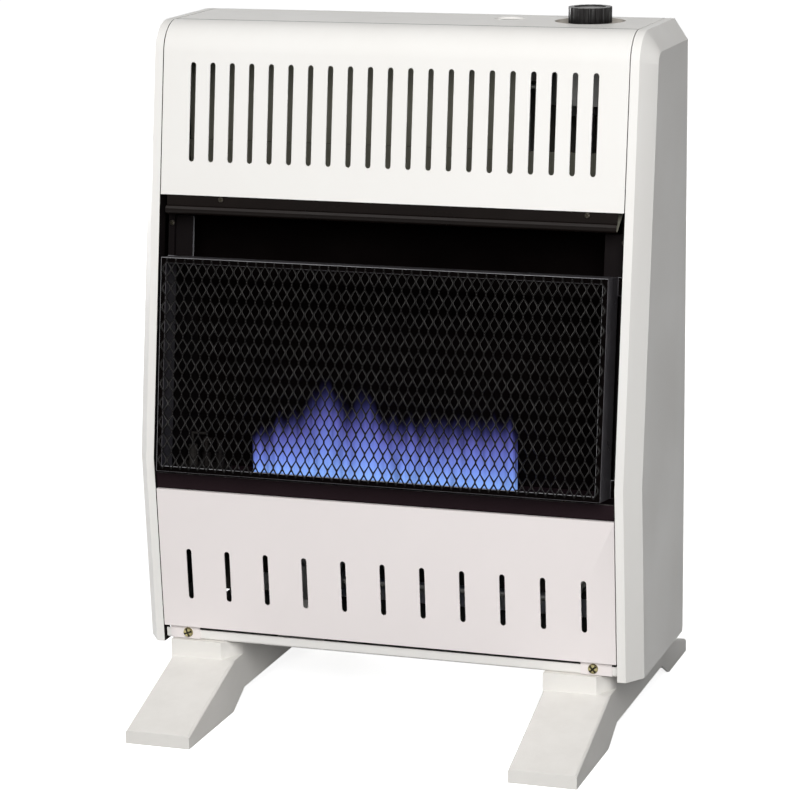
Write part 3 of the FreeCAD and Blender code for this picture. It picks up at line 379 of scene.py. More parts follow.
# Black paint of the firebox sides and flanges; also painted shade on the side panels' inner faces and in the
# top seam.
flange_black_and_shade = surface("flange_black_and_shade", (0.0050, 0.0038, 0.0040), (0.0075, 0.0058, 0.0060),
                       gloss=(0.45, 0.60), grain=paint_grain, bump=0.00004, specular=0.03, wear=0.15,
                       wear_colour=(0.03, 0.026, 0.025))
# Light grey painted as the highlight on the guard frame's top and left front edges and on the flanges' cut
# edges.
edge_glint = surface("painted_edge_glint", (0.30, 0.30, 0.31), (0.18, 0.18, 0.19), gloss=(0.30, 0.42),
                     grain=guard_grain, bump=0.00002)
# Grey painted as the highlight along the guard's strands and the ledge's top edge, mottled so that some stay
# dark.
edge_highlight = surface("edge_highlight", (0.10, 0.096, 0.092), (0.004, 0.0037, 0.0036),
                       gloss=(0.32, 0.45), grain=(1600.0, 130.0), bump=0.00002, specular=0.10)
# Dark grey painted as shade on the inner faces of the back panel and base pan.
inner_painted_shade = surface("inner_painted_shade", (0.075, 0.070, 0.060), (0.055, 0.051, 0.044), gloss=(0.50, 0.65),
                     grain=inner_grain, bump=0.00003, specular=0.1)
hood_black = surface("hood_black", (0.0040, 0.0026, 0.0022), (0.0060, 0.0040, 0.0033),
                     gloss=(0.24, 0.34), grain=paint_grain, bump=0.00003, specular=0.07, wear=0.10,
                     wear_colour=(0.02, 0.018, 0.018))
bead_sheen = surface("bead_sheen", (0.030, 0.027, 0.026), (0.022, 0.019, 0.018), gloss=(0.24, 0.34),
                     grain=paint_grain, bump=0.00003, specular=0.07)
ledge_black = surface("ledge_black", (0.0120, 0.0066, 0.0084), (0.0155, 0.0090, 0.0112),
                      gloss=(0.42, 0.55), grain=paint_grain, bump=0.00004, specular=0.03, wear=0.15,
                      wear_colour=(0.03, 0.026, 0.025))
frame_black = surface("frame_black", (0.048, 0.045, 0.050), (0.062, 0.058, 0.064), gloss=(0.26, 0.38),
                      grain=guard_grain, bump=0.00003, specular=0.30, wear=0.15,
                      wear_colour=(0.03, 0.028, 0.028))
mesh_black = surface("expanded_black", (0.0030, 0.0027, 0.0027), (0.0060, 0.0055, 0.0053),
                     gloss=(0.32, 0.45), grain=guard_grain, bump=0.00003, specular=0.06)
baffle_grey = surface("baffle_grey", (0.27, 0.265, 0.215), (0.21, 0.205, 0.165), gloss=(0.45, 0.60),
                      grain=inner_grain, bump=0.00003, metal=0.3, wear=0.3,
                      wear_colour=(0.14, 0.14, 0.12))
bare_steel = surface("bare_steel", (0.55, 0.54, 0.52), (0.45, 0.44, 0.42), gloss=(0.28, 0.45),
                     grain=(1400.0, 60.0), bump=0.00003, metal=1.0, wear=0.3)
heated_steel = surface("heated_steel", (0.020, 0.017, 0.015), (0.010, 0.009, 0.010), gloss=(0.45, 0.62),
                       grain=(1400.0, 45.0), bump=0.00004, metal=0.5, specular=0.1, wear=0.3,
                       wear_colour=(0.035, 0.030, 0.024))
brass = surface("brass", (0.66, 0.48, 0.20), (0.56, 0.40, 0.16), gloss=(0.22, 0.36),
                grain=(1600.0, 80.0), bump=0.00002, metal=1.0)
screw_brass = surface("yellow_plating", (0.36, 0.32, 0.16), (0.25, 0.22, 0.11), gloss=(0.25, 0.40),
                      grain=screw_grain, bump=0.00002, metal=1.0)
recess_shade = surface("recess_shade", (0.030, 0.026, 0.014), (0.018, 0.016, 0.010), gloss=(0.50, 0.65),
                       grain=screw_grain, bump=0.00002, specular=0.1)
dark_screw = surface("blackened_screw", (0.030, 0.026, 0.022), (0.050, 0.044, 0.036),
                     gloss=(0.30, 0.45), grain=screw_grain, bump=0.00002, metal=0.6, specular=0.2)
plated_screw = surface("plated_screw", (0.62, 0.62, 0.60), (0.52, 0.52, 0.50), gloss=(0.22, 0.34),
                       grain=screw_grain, bump=0.00002, metal=1.0)
cast_metal = surface("cast_aluminium", (0.26, 0.26, 0.255), (0.20, 0.20, 0.195), gloss=(0.45, 0.62),
                     grain=(700.0, 40.0), bump=0.00012, metal=0.9, dust=0.1)
line_metal = surface("tube_aluminium", (0.52, 0.52, 0.50), (0.44, 0.44, 0.42), gloss=(0.30, 0.42),
                     grain=(1200.0, 30.0), bump=0.00002, metal=1.0)
# Pilot electrode ceramic, darkened nearly to black.
ceramic = surface("darkened_ceramic", (0.030, 0.027, 0.025), (0.014, 0.013, 0.012), gloss=(0.30, 0.45),
                  grain=(1200.0, 60.0), bump=0.00002, specular=0.1)
lead_cover = surface("lead_cover", (0.020, 0.020, 0.021), (0.03, 0.03, 0.03), gloss=(0.45, 0.60),
                     grain=(900.0, 30.0), bump=0.00003)
knob_black = surface("knob_black", (0.0065, 0.0058, 0.0056), (0.010, 0.009, 0.0088), gloss=(0.28, 0.40),
                     grain=control_grain, bump=0.00003, specular=0.22, dust=0.05,
                     dust_colour=(0.12, 0.11, 0.10))
button_grey = surface("button_grey", (0.50, 0.49, 0.47), (0.45, 0.44, 0.42), gloss=(0.34, 0.46),
                      grain=control_grain, bump=0.00003, specular=0.15, dust=0.1)
# Darker cream painted as the shade in the knob recess, with a little dust.
recess_shade_and_dust = surface("recess_enamel_shaded", (0.50, 0.47, 0.43), (0.44, 0.41, 0.37), gloss=(0.40, 0.52),
                       grain=(620.0, 30.0), bump=0.00003, specular=0.12, dust=0.10)
body_black = surface("igniter_black", (0.02, 0.02, 0.02), (0.03, 0.03, 0.03), gloss=(0.35, 0.48),
                     grain=(1500.0, 40.0), bump=0.00003)
flame_blue = flame_material()

finish = {
    "left_side_panel": cream, "right_side_panel": cream, "top_panel": cream, "upper_front_panel": cream,
    "lower_front_panel": lower_cream, "back_panel": cream, "base_pan": cream, "left_foot": foot_finish,
    "right_foot": foot_finish, "firebox_floor": ledge_black, "firebox_left_side": flange_black_and_shade,
    "firebox_right_side": flange_black_and_shade, "firebox_back": stove_black, "hood": hood_black,
    "upper_baffle": baffle_grey, "guard_frame": frame_black, "guard_mesh": mesh_black,
    "burner_tube": heated_steel, "burner_left_saddle": bare_steel, "burner_right_saddle": bare_steel,
    "venturi": cast_metal, "injector_bracket": bare_steel, "injector": brass,
    "pilot_bracket": heated_steel, "pilot_burner": heated_steel, "pilot_electrode": ceramic,
    "thermocouple": heated_steel, "control_bracket": bare_steel, "valve_body": cast_metal,
    "valve_bonnet": cast_metal, "valve_plunger": brass, "valve_stem": brass, "control_knob": knob_black,
    "igniter_body": body_black, "igniter_nut": bare_steel, "igniter_button": button_grey,
    "igniter_lead": lead_cover, "gas_inlet": brass, "regulator": cast_metal,
    "regulator_bracket": bare_steel, "inlet_tube": line_metal, "burner_line": line_metal,
    "pilot_line": line_metal, "thermocouple_lead": brass, "panel_screws": screw_brass,
}


def new_piece(name, mesh):
    """Puts a mesh in the scene as a piece at the origin."""
    piece = bpy.data.objects.new(name, mesh)
    bpy.context.scene.collection.objects.link(piece)
    return piece


def plain_mesh(piece):
    """Turns a piece with its modifiers into a plain mesh."""
    graph = bpy.context.evaluated_depsgraph_get()
    mesh = bpy.data.meshes.new_from_object(piece.evaluated_get(graph))
    piece.modifiers.clear()
    piece.data = mesh
    return mesh


def mesh_from(name, shape):
    """Writes an edited shape into a new mesh and frees it."""
    mesh = bpy.data.meshes.new(name)
    shape.to_mesh(mesh)
    shape.free()
    return mesh


def smooth(mesh, angle):
    """Smooth shading that stays sharp at folds."""
    for polygon in mesh.polygons:
        polygon.use_smooth = True
    mesh.set_sharp_from_angle(angle=math.radians(angle))


def flatten_large_faces(mesh):
    """Keeps the many-cornered flat faces even where they meet rounded edges."""
    corners = [Vector(corner.vector) for corner in mesh.corner_normals]
    for polygon in mesh.polygons:
        if len(polygon.vertices) > 4:
            for corner in polygon.loop_indices:
                corners[corner] = polygon.normal
    mesh.normals_split_custom_set(corners)


def softened(node, width, segments=2):
    """A copy of a piece with its edges rounded, which stands for it."""
    mesh = pieces[node].data.copy()
    mesh.materials.clear()
    mesh.materials.append(finish[node])
    shape = bmesh.new()
    shape.from_mesh(mesh)
    bmesh.ops.remove_doubles(shape, verts=shape.verts, dist=weld_distance)
    bmesh.ops.dissolve_limit(shape, angle_limit=math.radians(flat_angle), verts=shape.verts,
                             edges=shape.edges)
    shape.to_mesh(mesh)
    shape.free()
    piece = new_piece(node + "_finished", mesh)
    edge = piece.modifiers.new("edge", "BEVEL")
    edge.width = width
    edge.segments = segments
    edge.limit_method = "ANGLE"
    edge.angle_limit = math.radians(fold_angle)
    edge.harden_normals = True
    smooth(mesh, fold_angle)
    flatten_large_faces(plain_mesh(piece))
    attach(piece, body_of[node])
    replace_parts(piece, node)
    return piece


def repaint(piece, direction, nearness, material, where=None):
    """Gives the faces of a piece that look about one way, and lie where the test says, another finish."""
    mesh = piece.data
    mesh.materials.append(material)
    facing = Vector(direction).normalized()
    for polygon in mesh.polygons:
        if polygon.normal.dot(facing) > nearness and (where is None or where(polygon.center)):
            polygon.material_index = len(mesh.materials) - 1


def paint_shade_inside(piece, material):
    """Paints the faces of a panel that look into the cabinet dark: painted shade inside the cabinet."""
    mesh = piece.data
    mesh.materials.append(material)
    for polygon in mesh.polygons:
        inward = (Vector(cabinet_middle) - polygon.center).normalized()
        if polygon.normal.dot(inward) > facing_inward:
            polygon.material_index = len(mesh.materials) - 1


def set_inputs(piece, tree, values):
    """Puts a node tree on a piece and sets its named inputs."""
    modifier = piece.modifiers.new(tree.name, "NODES")
    modifier.node_group = tree
    for item in tree.interface.items_tree:
        if item.in_out == "INPUT" and item.name in values:
            modifier[item.identifier] = values[item.name]


def expanded_metal_tree():
    """Rows of six-sided strand rings that share upright bonds, so that the gaps between them are alike."""
    inputs = [("Columns", "NodeSocketInt", 40), ("Rows", "NodeSocketInt", 10),
              ("Pitch Across", "NodeSocketFloat", 0.008), ("Pitch Up", "NodeSocketFloat", 0.017),
              ("Bond Length", "NodeSocketFloat", 0.003),
              ("Strand Width", "NodeSocketFloat", 0.001), ("Strand Thickness", "NodeSocketFloat", 0.001),
              ("Strand Tilt", "NodeSocketFloat", 0.6), ("Ring Scale", "NodeSocketFloat", 1.0),
              ("Material", "NodeSocketMaterial", None)]
    tree, given, made = new_group("expanded_metal", "GeometryNodeTree", inputs,
                                  [("Geometry", "NodeSocketGeometry")])

    def maths(operation, first, second=None):
        """One step of arithmetic on sockets or numbers."""
        node = add_node(tree, "ShaderNodeMath", operation=operation)
        for socket, value in zip(node.inputs, (first, second)):
            if isinstance(value, float):
                socket.default_value = value
            elif value is not None:
                join(tree, value, socket)
        return node.outputs["Value"]

    grid = add_node(tree, "GeometryNodeMeshGrid")
    for count, pitch, size, vertices in (("Columns", "Pitch Across", "Size X", "Vertices X"),
                                         ("Rows", "Pitch Up", "Size Y", "Vertices Y")):
        gaps = maths("SUBTRACT", given.outputs[count], 1.0)
        join(tree, maths("MULTIPLY", gaps, given.outputs[pitch]), grid.inputs[size])
        join(tree, given.outputs[count], grid.inputs[vertices])

    half_bond = maths("MULTIPLY", given.outputs["Bond Length"], 0.5)
    half_pitch = maths("MULTIPLY", given.outputs["Pitch Up"], 0.5)
    half_width = maths("MULTIPLY", given.outputs["Pitch Across"], 0.5)
    hexagon = add_node(tree, "GeometryNodeCurvePrimitiveCircle", {"Resolution": 6, "Radius": 1.0},
                       mode="RADIUS")
    place = add_node(tree, "GeometryNodeInputPosition")
    parts = add_node(tree, "ShaderNodeSeparateXYZ")
    join(tree, place.outputs["Position"], parts.inputs["Vector"])
    rise = add_node(tree, "ShaderNodeMapRange", {"From Min": 0.5, "From Max": 1.0})
    join(tree, maths("ABSOLUTE", parts.outputs["X"]), rise.inputs["Value"])
    join(tree, half_bond, rise.inputs["To Min"])
    join(tree, maths("SUBTRACT", half_pitch, half_bond), rise.inputs["To Max"])
    signed = maths("MULTIPLY", rise.outputs["Result"], maths("SIGN", parts.outputs["X"]))
    across = maths("MULTIPLY", maths("DIVIDE", parts.outputs["Y"], math.sin(math.radians(60.0))), half_width)
    corner = add_node(tree, "ShaderNodeCombineXYZ")
    join(tree, maths("MULTIPLY", across, given.outputs["Ring Scale"]), corner.inputs["X"])
    join(tree, maths("MULTIPLY", signed, given.outputs["Ring Scale"]), corner.inputs["Y"])
    ring = add_node(tree, "GeometryNodeSetPosition")
    join(tree, hexagon.outputs["Curve"], ring.inputs["Geometry"])
    join(tree, corner.outputs["Vector"], ring.inputs["Position"])

    bond = add_node(tree, "GeometryNodeCurvePrimitiveLine")
    for end, operation in (("Start", "SUBTRACT"), ("End", "ADD")):
        point = add_node(tree, "ShaderNodeCombineXYZ")
        join(tree, maths(operation, half_pitch, half_bond), point.inputs["Y"])
        join(tree, point.outputs["Vector"], bond.inputs[end])
    outline = add_node(tree, "GeometryNodeJoinGeometry")
    join(tree, ring.outputs["Geometry"], outline.inputs["Geometry"])
    join(tree, bond.outputs["Curve"], outline.inputs["Geometry"])

    leaned = add_node(tree, "GeometryNodeSetCurveTilt")
    join(tree, outline.outputs["Geometry"], leaned.inputs["Curve"])
    join(tree, given.outputs["Strand Tilt"], leaned.inputs["Tilt"])
    section = add_node(tree, "GeometryNodeCurvePrimitiveQuadrilateral", mode="RECTANGLE")
    join(tree, given.outputs["Strand Width"], section.inputs["Width"])
    join(tree, given.outputs["Strand Thickness"], section.inputs["Height"])
    strand = add_node(tree, "GeometryNodeCurveToMesh", {"Fill Caps": True})
    join(tree, leaned.outputs["Curve"], strand.inputs["Curve"])
    join(tree, section.outputs["Curve"], strand.inputs["Profile Curve"])
    copies = add_node(tree, "GeometryNodeInstanceOnPoints")
    join(tree, grid.outputs["Mesh"], copies.inputs["Points"])
    join(tree, strand.outputs["Mesh"], copies.inputs["Instance"])
    solid = add_node(tree, "GeometryNodeRealizeInstances")
    join(tree, copies.outputs["Instances"], solid.inputs["Geometry"])
    painted = add_node(tree, "GeometryNodeSetMaterial")
    join(tree, solid.outputs["Geometry"], painted.inputs["Geometry"])
    join(tree, given.outputs["Material"], painted.inputs["Material"])
    join(tree, painted.outputs["Geometry"], made.inputs["Geometry"])
    return tree


def leaning(node):
    """The frame of a piece on the upper front: its middle, X across, Y up the lean and Z outward."""
    low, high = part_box(node)
    return Matrix.Translation((low + high) / 2) @ Matrix.Rotation(math.radians(90.0 - upper_lean), 4, "X")


def guard_net():
    """The expanded-metal guard at its real fineness: dark strands, and a thin wire along one edge of each
    strand painted as its highlight.
    """
    low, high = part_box("guard_mesh")
    width = high.x - low.x
    height = (high.z - low.z) / math.cos(math.radians(upper_lean))
    columns = round(width / diamond_width)
    rows = round(height / diamond_height)
    tree = expanded_metal_tree()
    shared = {"Columns": columns, "Rows": rows, "Pitch Across": (width - strand_width) / columns,
              "Pitch Up": (height - strand_width) / rows, "Bond Length": bond_length}
    strands = {"Strand Width": strand_width, "Strand Thickness": strand_thickness,
               "Strand Tilt": math.radians(strand_tilt), "Ring Scale": 1.0, "Material": mesh_black}
    edges = {"Strand Width": highlight_wire_width, "Strand Thickness": highlight_wire_width, "Strand Tilt": 0.0,
             "Ring Scale": highlight_wire_ring, "Material": edge_highlight}
    made = []
    for name, values, lift in (("guard_net", strands, net_lift),
                               ("guard_net_edges", edges, net_lift + strand_thickness / 2)):
        piece = new_piece(name, bpy.data.meshes.new(name))
        set_inputs(piece, tree, {**shared, **values})
        plain_mesh(piece).transform(leaning("guard_mesh") @ Matrix.Translation((0, 0, lift)))
        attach(piece, body_of["guard_mesh"])
        made.append(piece)
    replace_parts(made[0], "guard_mesh")


def rolled_hood():
    """The hood as one bent sheet whose front edge is rolled into a round bead."""
    low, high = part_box("hood")
    panel_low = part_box("upper_front_panel")[0]
    slope = math.tan(math.radians(upper_lean))
    flange_top = panel_low.z + hood_flange_rise
    flange_low = low.z + hood_flange_end
    path = [(panel_low.y + hood_panel_gap + (z - panel_low.z) * slope, z) for z in (flange_top, flange_low)]
    bead = hood_bead_radius
    for angle in range(90, 271, hood_bead_step):
        turn = math.radians(angle)
        path.append((low.y + bead + bead * math.cos(turn), low.z + bead + bead * math.sin(turn)))
    path += [(high.y, low.z + hood_roof_rise), (high.y, high.z)]
    shape = bmesh.new()
    rows = [[shape.verts.new((x, y, z)) for x in (low.x, high.x)] for y, z in path]
    for upper, lower in zip(rows, rows[1:]):
        shape.faces.new((upper[0], lower[0], lower[1], upper[1]))
    mesh = mesh_from("hood_rolled", shape)
    mesh.materials.append(hood_black)
    piece = new_piece("hood_rolled", mesh)
    wall = piece.modifiers.new("wall", "SOLIDIFY")
    wall.thickness = sheet
    wall.offset = -1.0
    smooth(plain_mesh(piece), round_angle)
    repaint(piece, bead_sheen_direction, facing_flat, bead_sheen)
    repaint(piece, (0, -1, 1), facing_roof, baffle_grey, lambda place: place.y > low.y + hood_inner_reach)
    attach(piece, body_of["hood"])
    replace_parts(piece, "hood")


def top_seam():
    """A thin dark strip along the joint between the top panel and the rolled brow of the upper front panel:
    painted shadow of the gap between the two sheets.
    """
    low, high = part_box("top_panel")
    shape = bmesh.new()
    size = Matrix.Diagonal((high.x - low.x, seam_width, seam_thickness, 1.0))
    place = Matrix.Translation((0, low.y, high.z - seam_drop))
    bmesh.ops.create_cube(shape, size=1.0, matrix=place @ size)
    mesh = mesh_from("top_seam", shape)
    mesh.materials.append(flange_black_and_shade)
    piece = new_piece("top_seam", mesh)
    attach(piece, body_of["top_panel"])


def firebox_flanges():
    """The upright front flanges inside the firebox sides, with a painted highlight on their cut edges."""
    plate_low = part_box("firebox_right_side")[0]
    net_low, net_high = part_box("guard_mesh")
    hood_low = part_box("hood")[0]
    outer = plate_low.x
    half_net = (net_high.z - net_low.z) / math.cos(math.radians(upper_lean)) / 2
    foot = half_net - flange_overlap
    tall = (hood_low.z - net_high.z) / math.cos(math.radians(upper_lean)) + flange_overlap
    depth = net_low.y - plate_low.y - flange_recess
    shape = bmesh.new()
    for side in (-1, 1):
        middle = Matrix.Translation((side * (outer - flange_width / 2), foot + tall / 2, depth))
        size = Matrix.Diagonal((flange_width, tall, flange_hem, 1.0))
        bmesh.ops.create_cube(shape, size=1.0, matrix=middle @ size)
    mesh = mesh_from("firebox_flanges", shape)
    mesh.materials.append(flange_black_and_shade)
    mesh.transform(leaning("guard_mesh"))
    piece = new_piece("firebox_flanges", mesh)
    # The cut edges facing +X take a painted highlight.
    repaint(piece, (1, 0, 0), facing_flat, edge_glint)
    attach(piece, body_of["firebox_right_side"])


def cross_head(name, radius, height):
    """A pan head with a cross recess, its seat at the origin and its crown along Z."""
    shape = bmesh.new()
    ring = [shape.verts.new((radius * out, 0.0, height * up)) for out, up in head_outline]
    edges = [shape.edges.new(pair) for pair in zip(ring, ring[1:])]
    bmesh.ops.spin(shape, geom=ring + edges, axis=(0, 0, 1), cent=(0, 0, 0), angle=math.tau, steps=head_sides)
    bmesh.ops.remove_doubles(shape, verts=shape.verts, dist=radius * 0.001)
    bmesh.ops.recalc_face_normals(shape, faces=shape.faces)
    mesh = mesh_from(name, shape)
    head = new_piece(name, mesh)
    cutter_shape = bmesh.new()
    for turn in (0.0, 90.0):
        size = Matrix.Diagonal((radius * cross_length, radius * cross_width, height * cross_depth, 1.0))
        place = Matrix.Translation((0, 0, height)) @ Matrix.Rotation(math.radians(turn), 4, "Z")
        bmesh.ops.create_cube(cutter_shape, size=1.0, matrix=place @ size)
    cutter = new_piece(name + "_recess", mesh_from(name + "_recess", cutter_shape))
    cut = head.modifiers.new("recess", "BOOLEAN")
    cut.object = cutter
    cut.solver = "EXACT"
    cut.use_self = True
    mesh = plain_mesh(head)
    smooth(mesh, round_angle)
    bpy.data.objects.remove(cutter)
    marks = mesh.attributes.new("recess", "BOOLEAN", "FACE")
    for polygon in mesh.polygons:
        inside = polygon.center.xy.length < radius * cross_mark_radius
        sunk = height * cross_mark_low < polygon.center.z < height * cross_mark_high
        marks.data[polygon.index].value = inside and sunk
    return head


def screw_row_tree():
    """A screw head on every point, each turned by chance about its own axis."""
    inputs = [("Places", "NodeSocketGeometry", None), ("Head", "NodeSocketObject", None),
              ("Direction", "NodeSocketVector", (0.0, -1.0, 0.0)), ("Seed", "NodeSocketInt", 3),
              ("Material", "NodeSocketMaterial", None), ("Recess Material", "NodeSocketMaterial", None)]
    tree, given, made = new_group("screw_row", "GeometryNodeTree", inputs,
                                  [("Geometry", "NodeSocketGeometry")])
    head = add_node(tree, "GeometryNodeObjectInfo")
    join(tree, given.outputs["Head"], head.inputs["Object"])
    facing = add_node(tree, "FunctionNodeAlignRotationToVector", axis="Z")
    join(tree, given.outputs["Direction"], facing.inputs["Vector"])
    copies = add_node(tree, "GeometryNodeInstanceOnPoints")
    join(tree, given.outputs["Places"], copies.inputs["Points"])
    join(tree, head.outputs["Geometry"], copies.inputs["Instance"])
    join(tree, facing.outputs["Rotation"], copies.inputs["Rotation"])
    chance = add_node(tree, "FunctionNodeRandomValue", {"Min": 0.0, "Max": 1.0}, data_type="FLOAT")
    join(tree, given.outputs["Seed"], chance.inputs["Seed"])
    angle = add_node(tree, "ShaderNodeMath", {1: math.pi / 2}, operation="MULTIPLY")
    join(tree, chance.outputs[1], angle.inputs[0])
    turn = add_node(tree, "ShaderNodeCombineXYZ")
    join(tree, angle.outputs["Value"], turn.inputs["Z"])
    turned = add_node(tree, "GeometryNodeRotateInstances")
    join(tree, copies.outputs["Instances"], turned.inputs["Instances"])
    join(tree, turn.outputs["Vector"], turned.inputs["Rotation"])
    solid = add_node(tree, "GeometryNodeRealizeInstances")
    join(tree, turned.outputs["Instances"], solid.inputs["Geometry"])
    painted = add_node(tree, "GeometryNodeSetMaterial")
    join(tree, solid.outputs["Geometry"], painted.inputs["Geometry"])
    join(tree, given.outputs["Material"], painted.inputs["Material"])
    recess = add_node(tree, "GeometryNodeInputNamedAttribute", {"Name": "recess"}, data_type="BOOLEAN")
    shaded = add_node(tree, "GeometryNodeSetMaterial")
    join(tree, painted.outputs["Geometry"], shaded.inputs["Geometry"])
    join(tree, recess.outputs["Attribute"], shaded.inputs["Selection"])
    join(tree, given.outputs["Recess Material"], shaded.inputs["Material"])
    join(tree, shaded.outputs["Geometry"], made.inputs["Geometry"])
    return tree


screw_row = screw_row_tree()


def screws(name, head, places, direction, material):
    """Screw heads at the given places, which ride on the cabinet."""
    mesh = bpy.data.meshes.new(name)
    mesh.from_pydata([tuple(p) for p in places], [], [])
    piece = new_piece(name, mesh)
    set_inputs(piece, screw_row, {"Head": head, "Direction": direction, "Seed": len(places),
                                  "Material": material, "Recess Material": recess_shade})
    plain_mesh(piece)
    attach(piece, "cabinet")
    return piece


def fixings():
    """The brass ear screws, and the small dark and plated screws of hood, guard and back."""
    large = cross_head("large_head", panel_head_radius, panel_head_height)
    small = cross_head("small_head", small_head_radius, small_head_height)
    upper = Vector((0, -math.cos(math.radians(upper_lean)), math.sin(math.radians(upper_lean))))
    lower = Vector((0, -math.cos(math.radians(lower_lean)), -math.sin(math.radians(lower_lean))))
    low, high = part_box("panel_screws")
    middle = (low + high) / 2
    seat_y = low.y + panel_head_radius * math.sin(math.radians(lower_lean)) + panel_head_height
    ears = [(x, seat_y, middle.z) for x in (low.x + panel_head_radius, high.x - panel_head_radius)]
    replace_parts(screws("ear_screws", large, ears, lower, screw_brass), "panel_screws")

    hood_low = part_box("hood")[0]
    front_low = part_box("upper_front_panel")[0]
    strip_z = front_low.z - hood_screw_drop
    strip_y = front_low.y + sheet - hood_screw_drop * math.tan(math.radians(upper_lean))
    strip = [(x, strip_y, strip_z) for x in hood_screws_x]
    screws("hood_screws", small, strip, upper, dark_screw)

    plate_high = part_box("firebox_right_side")[1]
    flange_x = plate_high.x - small_head_radius - sheet
    flange_z = hood_low.z - flange_screw_drop
    flange_y = front_low.y + flange_set_back + (flange_z - front_low.z) * math.tan(math.radians(upper_lean))
    flange = [(x, flange_y, flange_z) for x in (-flange_x, flange_x)]
    screws("flange_screws", small, flange, upper, dark_screw)

    back_low, back_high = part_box("back_panel")
    rear = back_high.y
    edge = back_screw_inset
    rows = [back_low.z + (back_high.z - back_low.z) * share for share in back_screw_shares]
    back = [(x, rear, z) for z in rows for x in (back_low.x + edge, back_high.x - edge)]
    ends = (back_low.z + edge, back_high.z - edge)
    back += [(x, rear, z) for x in (-back_screw_x, back_screw_x) for z in ends]
    screws("back_screws", small, back, Vector((0, 1, 0)), plated_screw)
    for head in (large, small):
        bpy.data.objects.remove(head)


def flame_top(x, layer):
    """The height of the flame's tip above the burner at a place along it."""
    tall = flame_height
    for rise, place, spread in flame_rises:
        tall += rise * math.exp(-((x - place) / spread) ** 2)
    ripple = 0.0
    for share, rate, shift, start in flame_waves:
        ripple += share * math.sin(x * rate + layer * shift + start)
    return tall * (1.0 - flame_layer_drop * layer) + flame_ripple * ripple


def flame_sway(x, layer, wave):
    """How far a wave along the flame pushes it forward or back."""
    reach, rate, shift = wave
    return reach * math.sin(x * rate + layer * shift)


def flames():
    """A row of burning ports as a few wavy, see-through curtains one behind the other."""
    low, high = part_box("burner_tube")
    foot_z = high.z
    middle_y = (low.y + high.y) / 2
    shape = bmesh.new()
    uv = shape.loops.layers.uv.new("flame")
    for layer in range(flame_layers):
        rows = []
        for k in range(flame_columns + 1):
            x = flame_left + (flame_right - flame_left) * k / flame_columns
            tall = flame_top(x, layer)
            column = []
            for step in range(flame_steps + 1):
                share = step / flame_steps
                sway = flame_sway(x, layer, flame_foot_sway) + share * flame_sway(x, layer, flame_tip_sway)
                y = middle_y + (layer - (flame_layers - 1) / 2) * flame_layer_gap + sway
                vert = shape.verts.new((x, y, foot_z + flame_lift + tall * share))
                column.append((vert, (k / flame_columns, share)))
            rows.append(column)
        for near, far in zip(rows, rows[1:]):
            for step in range(flame_steps):
                corners = [near[step], far[step], far[step + 1], near[step + 1]]
                face = shape.faces.new([vert for vert, _ in corners])
                face.smooth = True
                for loop, (_, place) in zip(face.loops, corners):
                    loop[uv].uv = place
    mesh = mesh_from("flames", shape)
    mesh.materials.append(flame_blue)
    piece = new_piece("flames", mesh)
    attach(piece, "cabinet")


def dress():
    """Gives every piece its finish, rounds the edges that show, and adds what only shows in the picture."""
    for node, piece in pieces.items():
        piece.data.materials.clear()
        piece.data.materials.append(finish[node])
    for node in ("upper_front_panel", "lower_front_panel"):
        softened(node, sheet_edge)
    top_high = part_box("top_panel")[1]
    knob_low, knob_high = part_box("control_knob")
    axis = (knob_low + knob_high) / 2
    # The knob recess in the top panel takes painted shade.
    repaint(softened("top_panel", sheet_edge), (0, 0, 1), facing_recess, recess_shade_and_dust,
            lambda place: place.z < top_high.z - sheet_edge and (place - axis).xy.length < knob_recess_reach)
    top_seam()
    # The inner faces of the side, back and base panels take painted shade.
    for node, inside in (("left_side_panel", flange_black_and_shade), ("right_side_panel", flange_black_and_shade),
                         ("back_panel", inner_painted_shade), ("base_pan", inner_painted_shade)):
        paint_shade_inside(softened(node, sheet_edge), inside)
    outward = Vector((0, -math.cos(math.radians(upper_lean)), math.sin(math.radians(upper_lean))))
    upward = Vector((0, -outward.z, -outward.y))
    # The ledge's top front edge takes a painted highlight.
    repaint(softened("firebox_floor", sheet_edge), outward + upward, facing_slant, edge_highlight)
    guard = softened("guard_frame", sheet_edge)
    repaint(guard, outward, facing_flat, stove_black)
    # The frame's top-front and left-front edges take a painted highlight.
    for beside in (upward, Vector((-1, 0, 0))):
        repaint(guard, outward + beside, facing_slant, edge_glint)
    for node in ("left_foot", "right_foot"):
        softened(node, foot_edge, 3)
    softened("control_knob", knob_edge)
    softened("igniter_button", button_edge, 4)
    for node in ("valve_body", "regulator", "gas_inlet"):
        softened(node, casting_edge)
    guard_net()
    rolled_hood()
    firebox_flanges()
    fixings()
    flames()


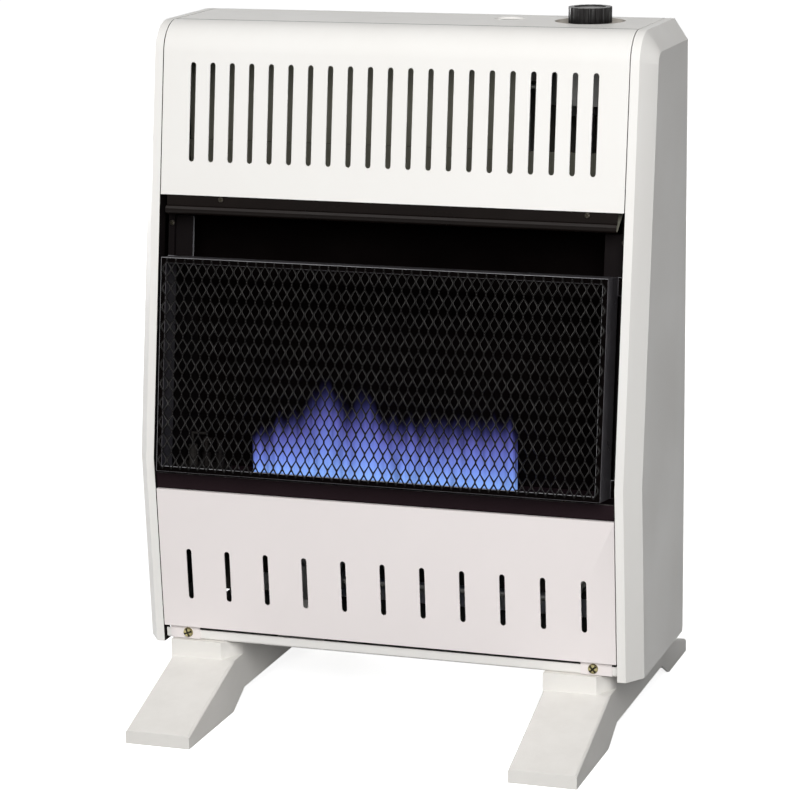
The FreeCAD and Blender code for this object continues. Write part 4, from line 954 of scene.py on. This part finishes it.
def floor_material():
    """Pale floor that looks white, takes the heater's shadow and throws little light back."""
    material = bpy.data.materials.new("pale_floor")
    material.use_nodes = True
    tree = material.node_tree
    tree.nodes.clear()
    path = add_node(tree, "ShaderNodeLightPath")
    tone = add_node(tree, "ShaderNodeMix", {"A": floor_bounce, "B": floor_seen}, data_type="FLOAT")
    matt = add_node(tree, "ShaderNodeBsdfDiffuse")
    white = add_node(tree, "ShaderNodeEmission", {"Color": (1.0, 1.0, 1.0, 1.0)})
    seen = add_node(tree, "ShaderNodeMath", operation="MAXIMUM")
    coords = add_node(tree, "ShaderNodeTexCoord")
    distance = add_node(tree, "ShaderNodeVectorMath", operation="LENGTH")
    far = add_node(tree, "ShaderNodeMapRange", {"From Min": floor_near, "From Max": floor_far,
                                                "To Min": floor_glow_near, "To Max": floor_glow_far})
    share = add_node(tree, "ShaderNodeMath", operation="MULTIPLY")
    both = add_node(tree, "ShaderNodeAddShader")
    out = add_node(tree, "ShaderNodeOutputMaterial")
    join(tree, path.outputs["Is Camera Ray"], seen.inputs[0])
    join(tree, path.outputs["Is Glossy Ray"], seen.inputs[1])
    join(tree, seen.outputs["Value"], tone.inputs["Factor"])
    join(tree, tone.outputs["Result"], matt.inputs["Color"])
    join(tree, coords.outputs["Object"], distance.inputs[0])
    join(tree, distance.outputs["Value"], far.inputs["Value"])
    join(tree, far.outputs["Result"], share.inputs[1])
    join(tree, seen.outputs["Value"], share.inputs[0])
    join(tree, share.outputs["Value"], white.inputs["Strength"])
    join(tree, matt.outputs["BSDF"], both.inputs[0])
    join(tree, white.outputs["Emission"], both.inputs[1])
    join(tree, both.outputs["Shader"], out.inputs["Surface"])
    return material


def studio_floor():
    """The wide floor under the heater."""
    mesh = bpy.data.meshes.new("floor")
    corners = [(x * floor_reach, y * floor_reach, 0) for x, y in ((-1, -1), (1, -1), (1, 1), (-1, 1))]
    mesh.from_pydata(corners, [], [(0, 1, 2, 3)])
    mesh.materials.append(floor_material())
    new_piece("floor", mesh)


def surroundings():
    """White to the camera and to reflections, and nearly dark as a light."""
    world = bpy.data.worlds.new("studio")
    bpy.context.scene.world = world
    world.use_nodes = True
    tree = world.node_tree
    sky = tree.nodes["Background"]
    path = add_node(tree, "ShaderNodeLightPath")
    direct = add_node(tree, "ShaderNodeMath", operation="MAXIMUM")
    level = add_node(tree, "ShaderNodeMapRange", {"To Min": surroundings_light, "To Max": 1.0})
    join(tree, path.outputs["Is Camera Ray"], direct.inputs[0])
    join(tree, path.outputs["Is Glossy Ray"], direct.inputs[1])
    join(tree, direct.outputs["Value"], level.inputs["Value"])
    join(tree, level.outputs["Result"], sky.inputs["Strength"])
    sky.inputs["Color"].default_value = (1.0, 1.0, 1.0, 1.0)


def studio_lamps():
    """Soft square lamps turned to the heater."""
    for name, place, size, power in lamps:
        lamp = bpy.data.lights.new(name, "AREA")
        lamp.size = size
        lamp.energy = power
        holder = bpy.data.objects.new(name, lamp)
        holder.location = place
        holder.rotation_euler = (Vector(lamp_target) - Vector(place)).to_track_quat("-Z", "Y").to_euler()
        bpy.context.scene.collection.objects.link(holder)


def photo_camera():
    """The camera at the photo's angle."""
    lens = bpy.data.cameras.new("camera")
    lens.lens = camera_lens
    camera = bpy.data.objects.new("camera", lens)
    turn = Matrix.Rotation(math.radians(camera_turn), 4, "Z")
    tilt = Matrix.Rotation(math.radians(90.0 + camera_tilt), 4, "X")
    roll = Matrix.Rotation(math.radians(camera_roll), 4, "Z")
    camera.matrix_world = Matrix.Translation(camera_place) @ turn @ tilt @ roll
    bpy.context.scene.collection.objects.link(camera)
    bpy.context.scene.camera = camera
    bpy.context.scene.view_settings.view_transform = "Standard"


dress()
studio_floor()
surroundings()
studio_lamps()
photo_camera()
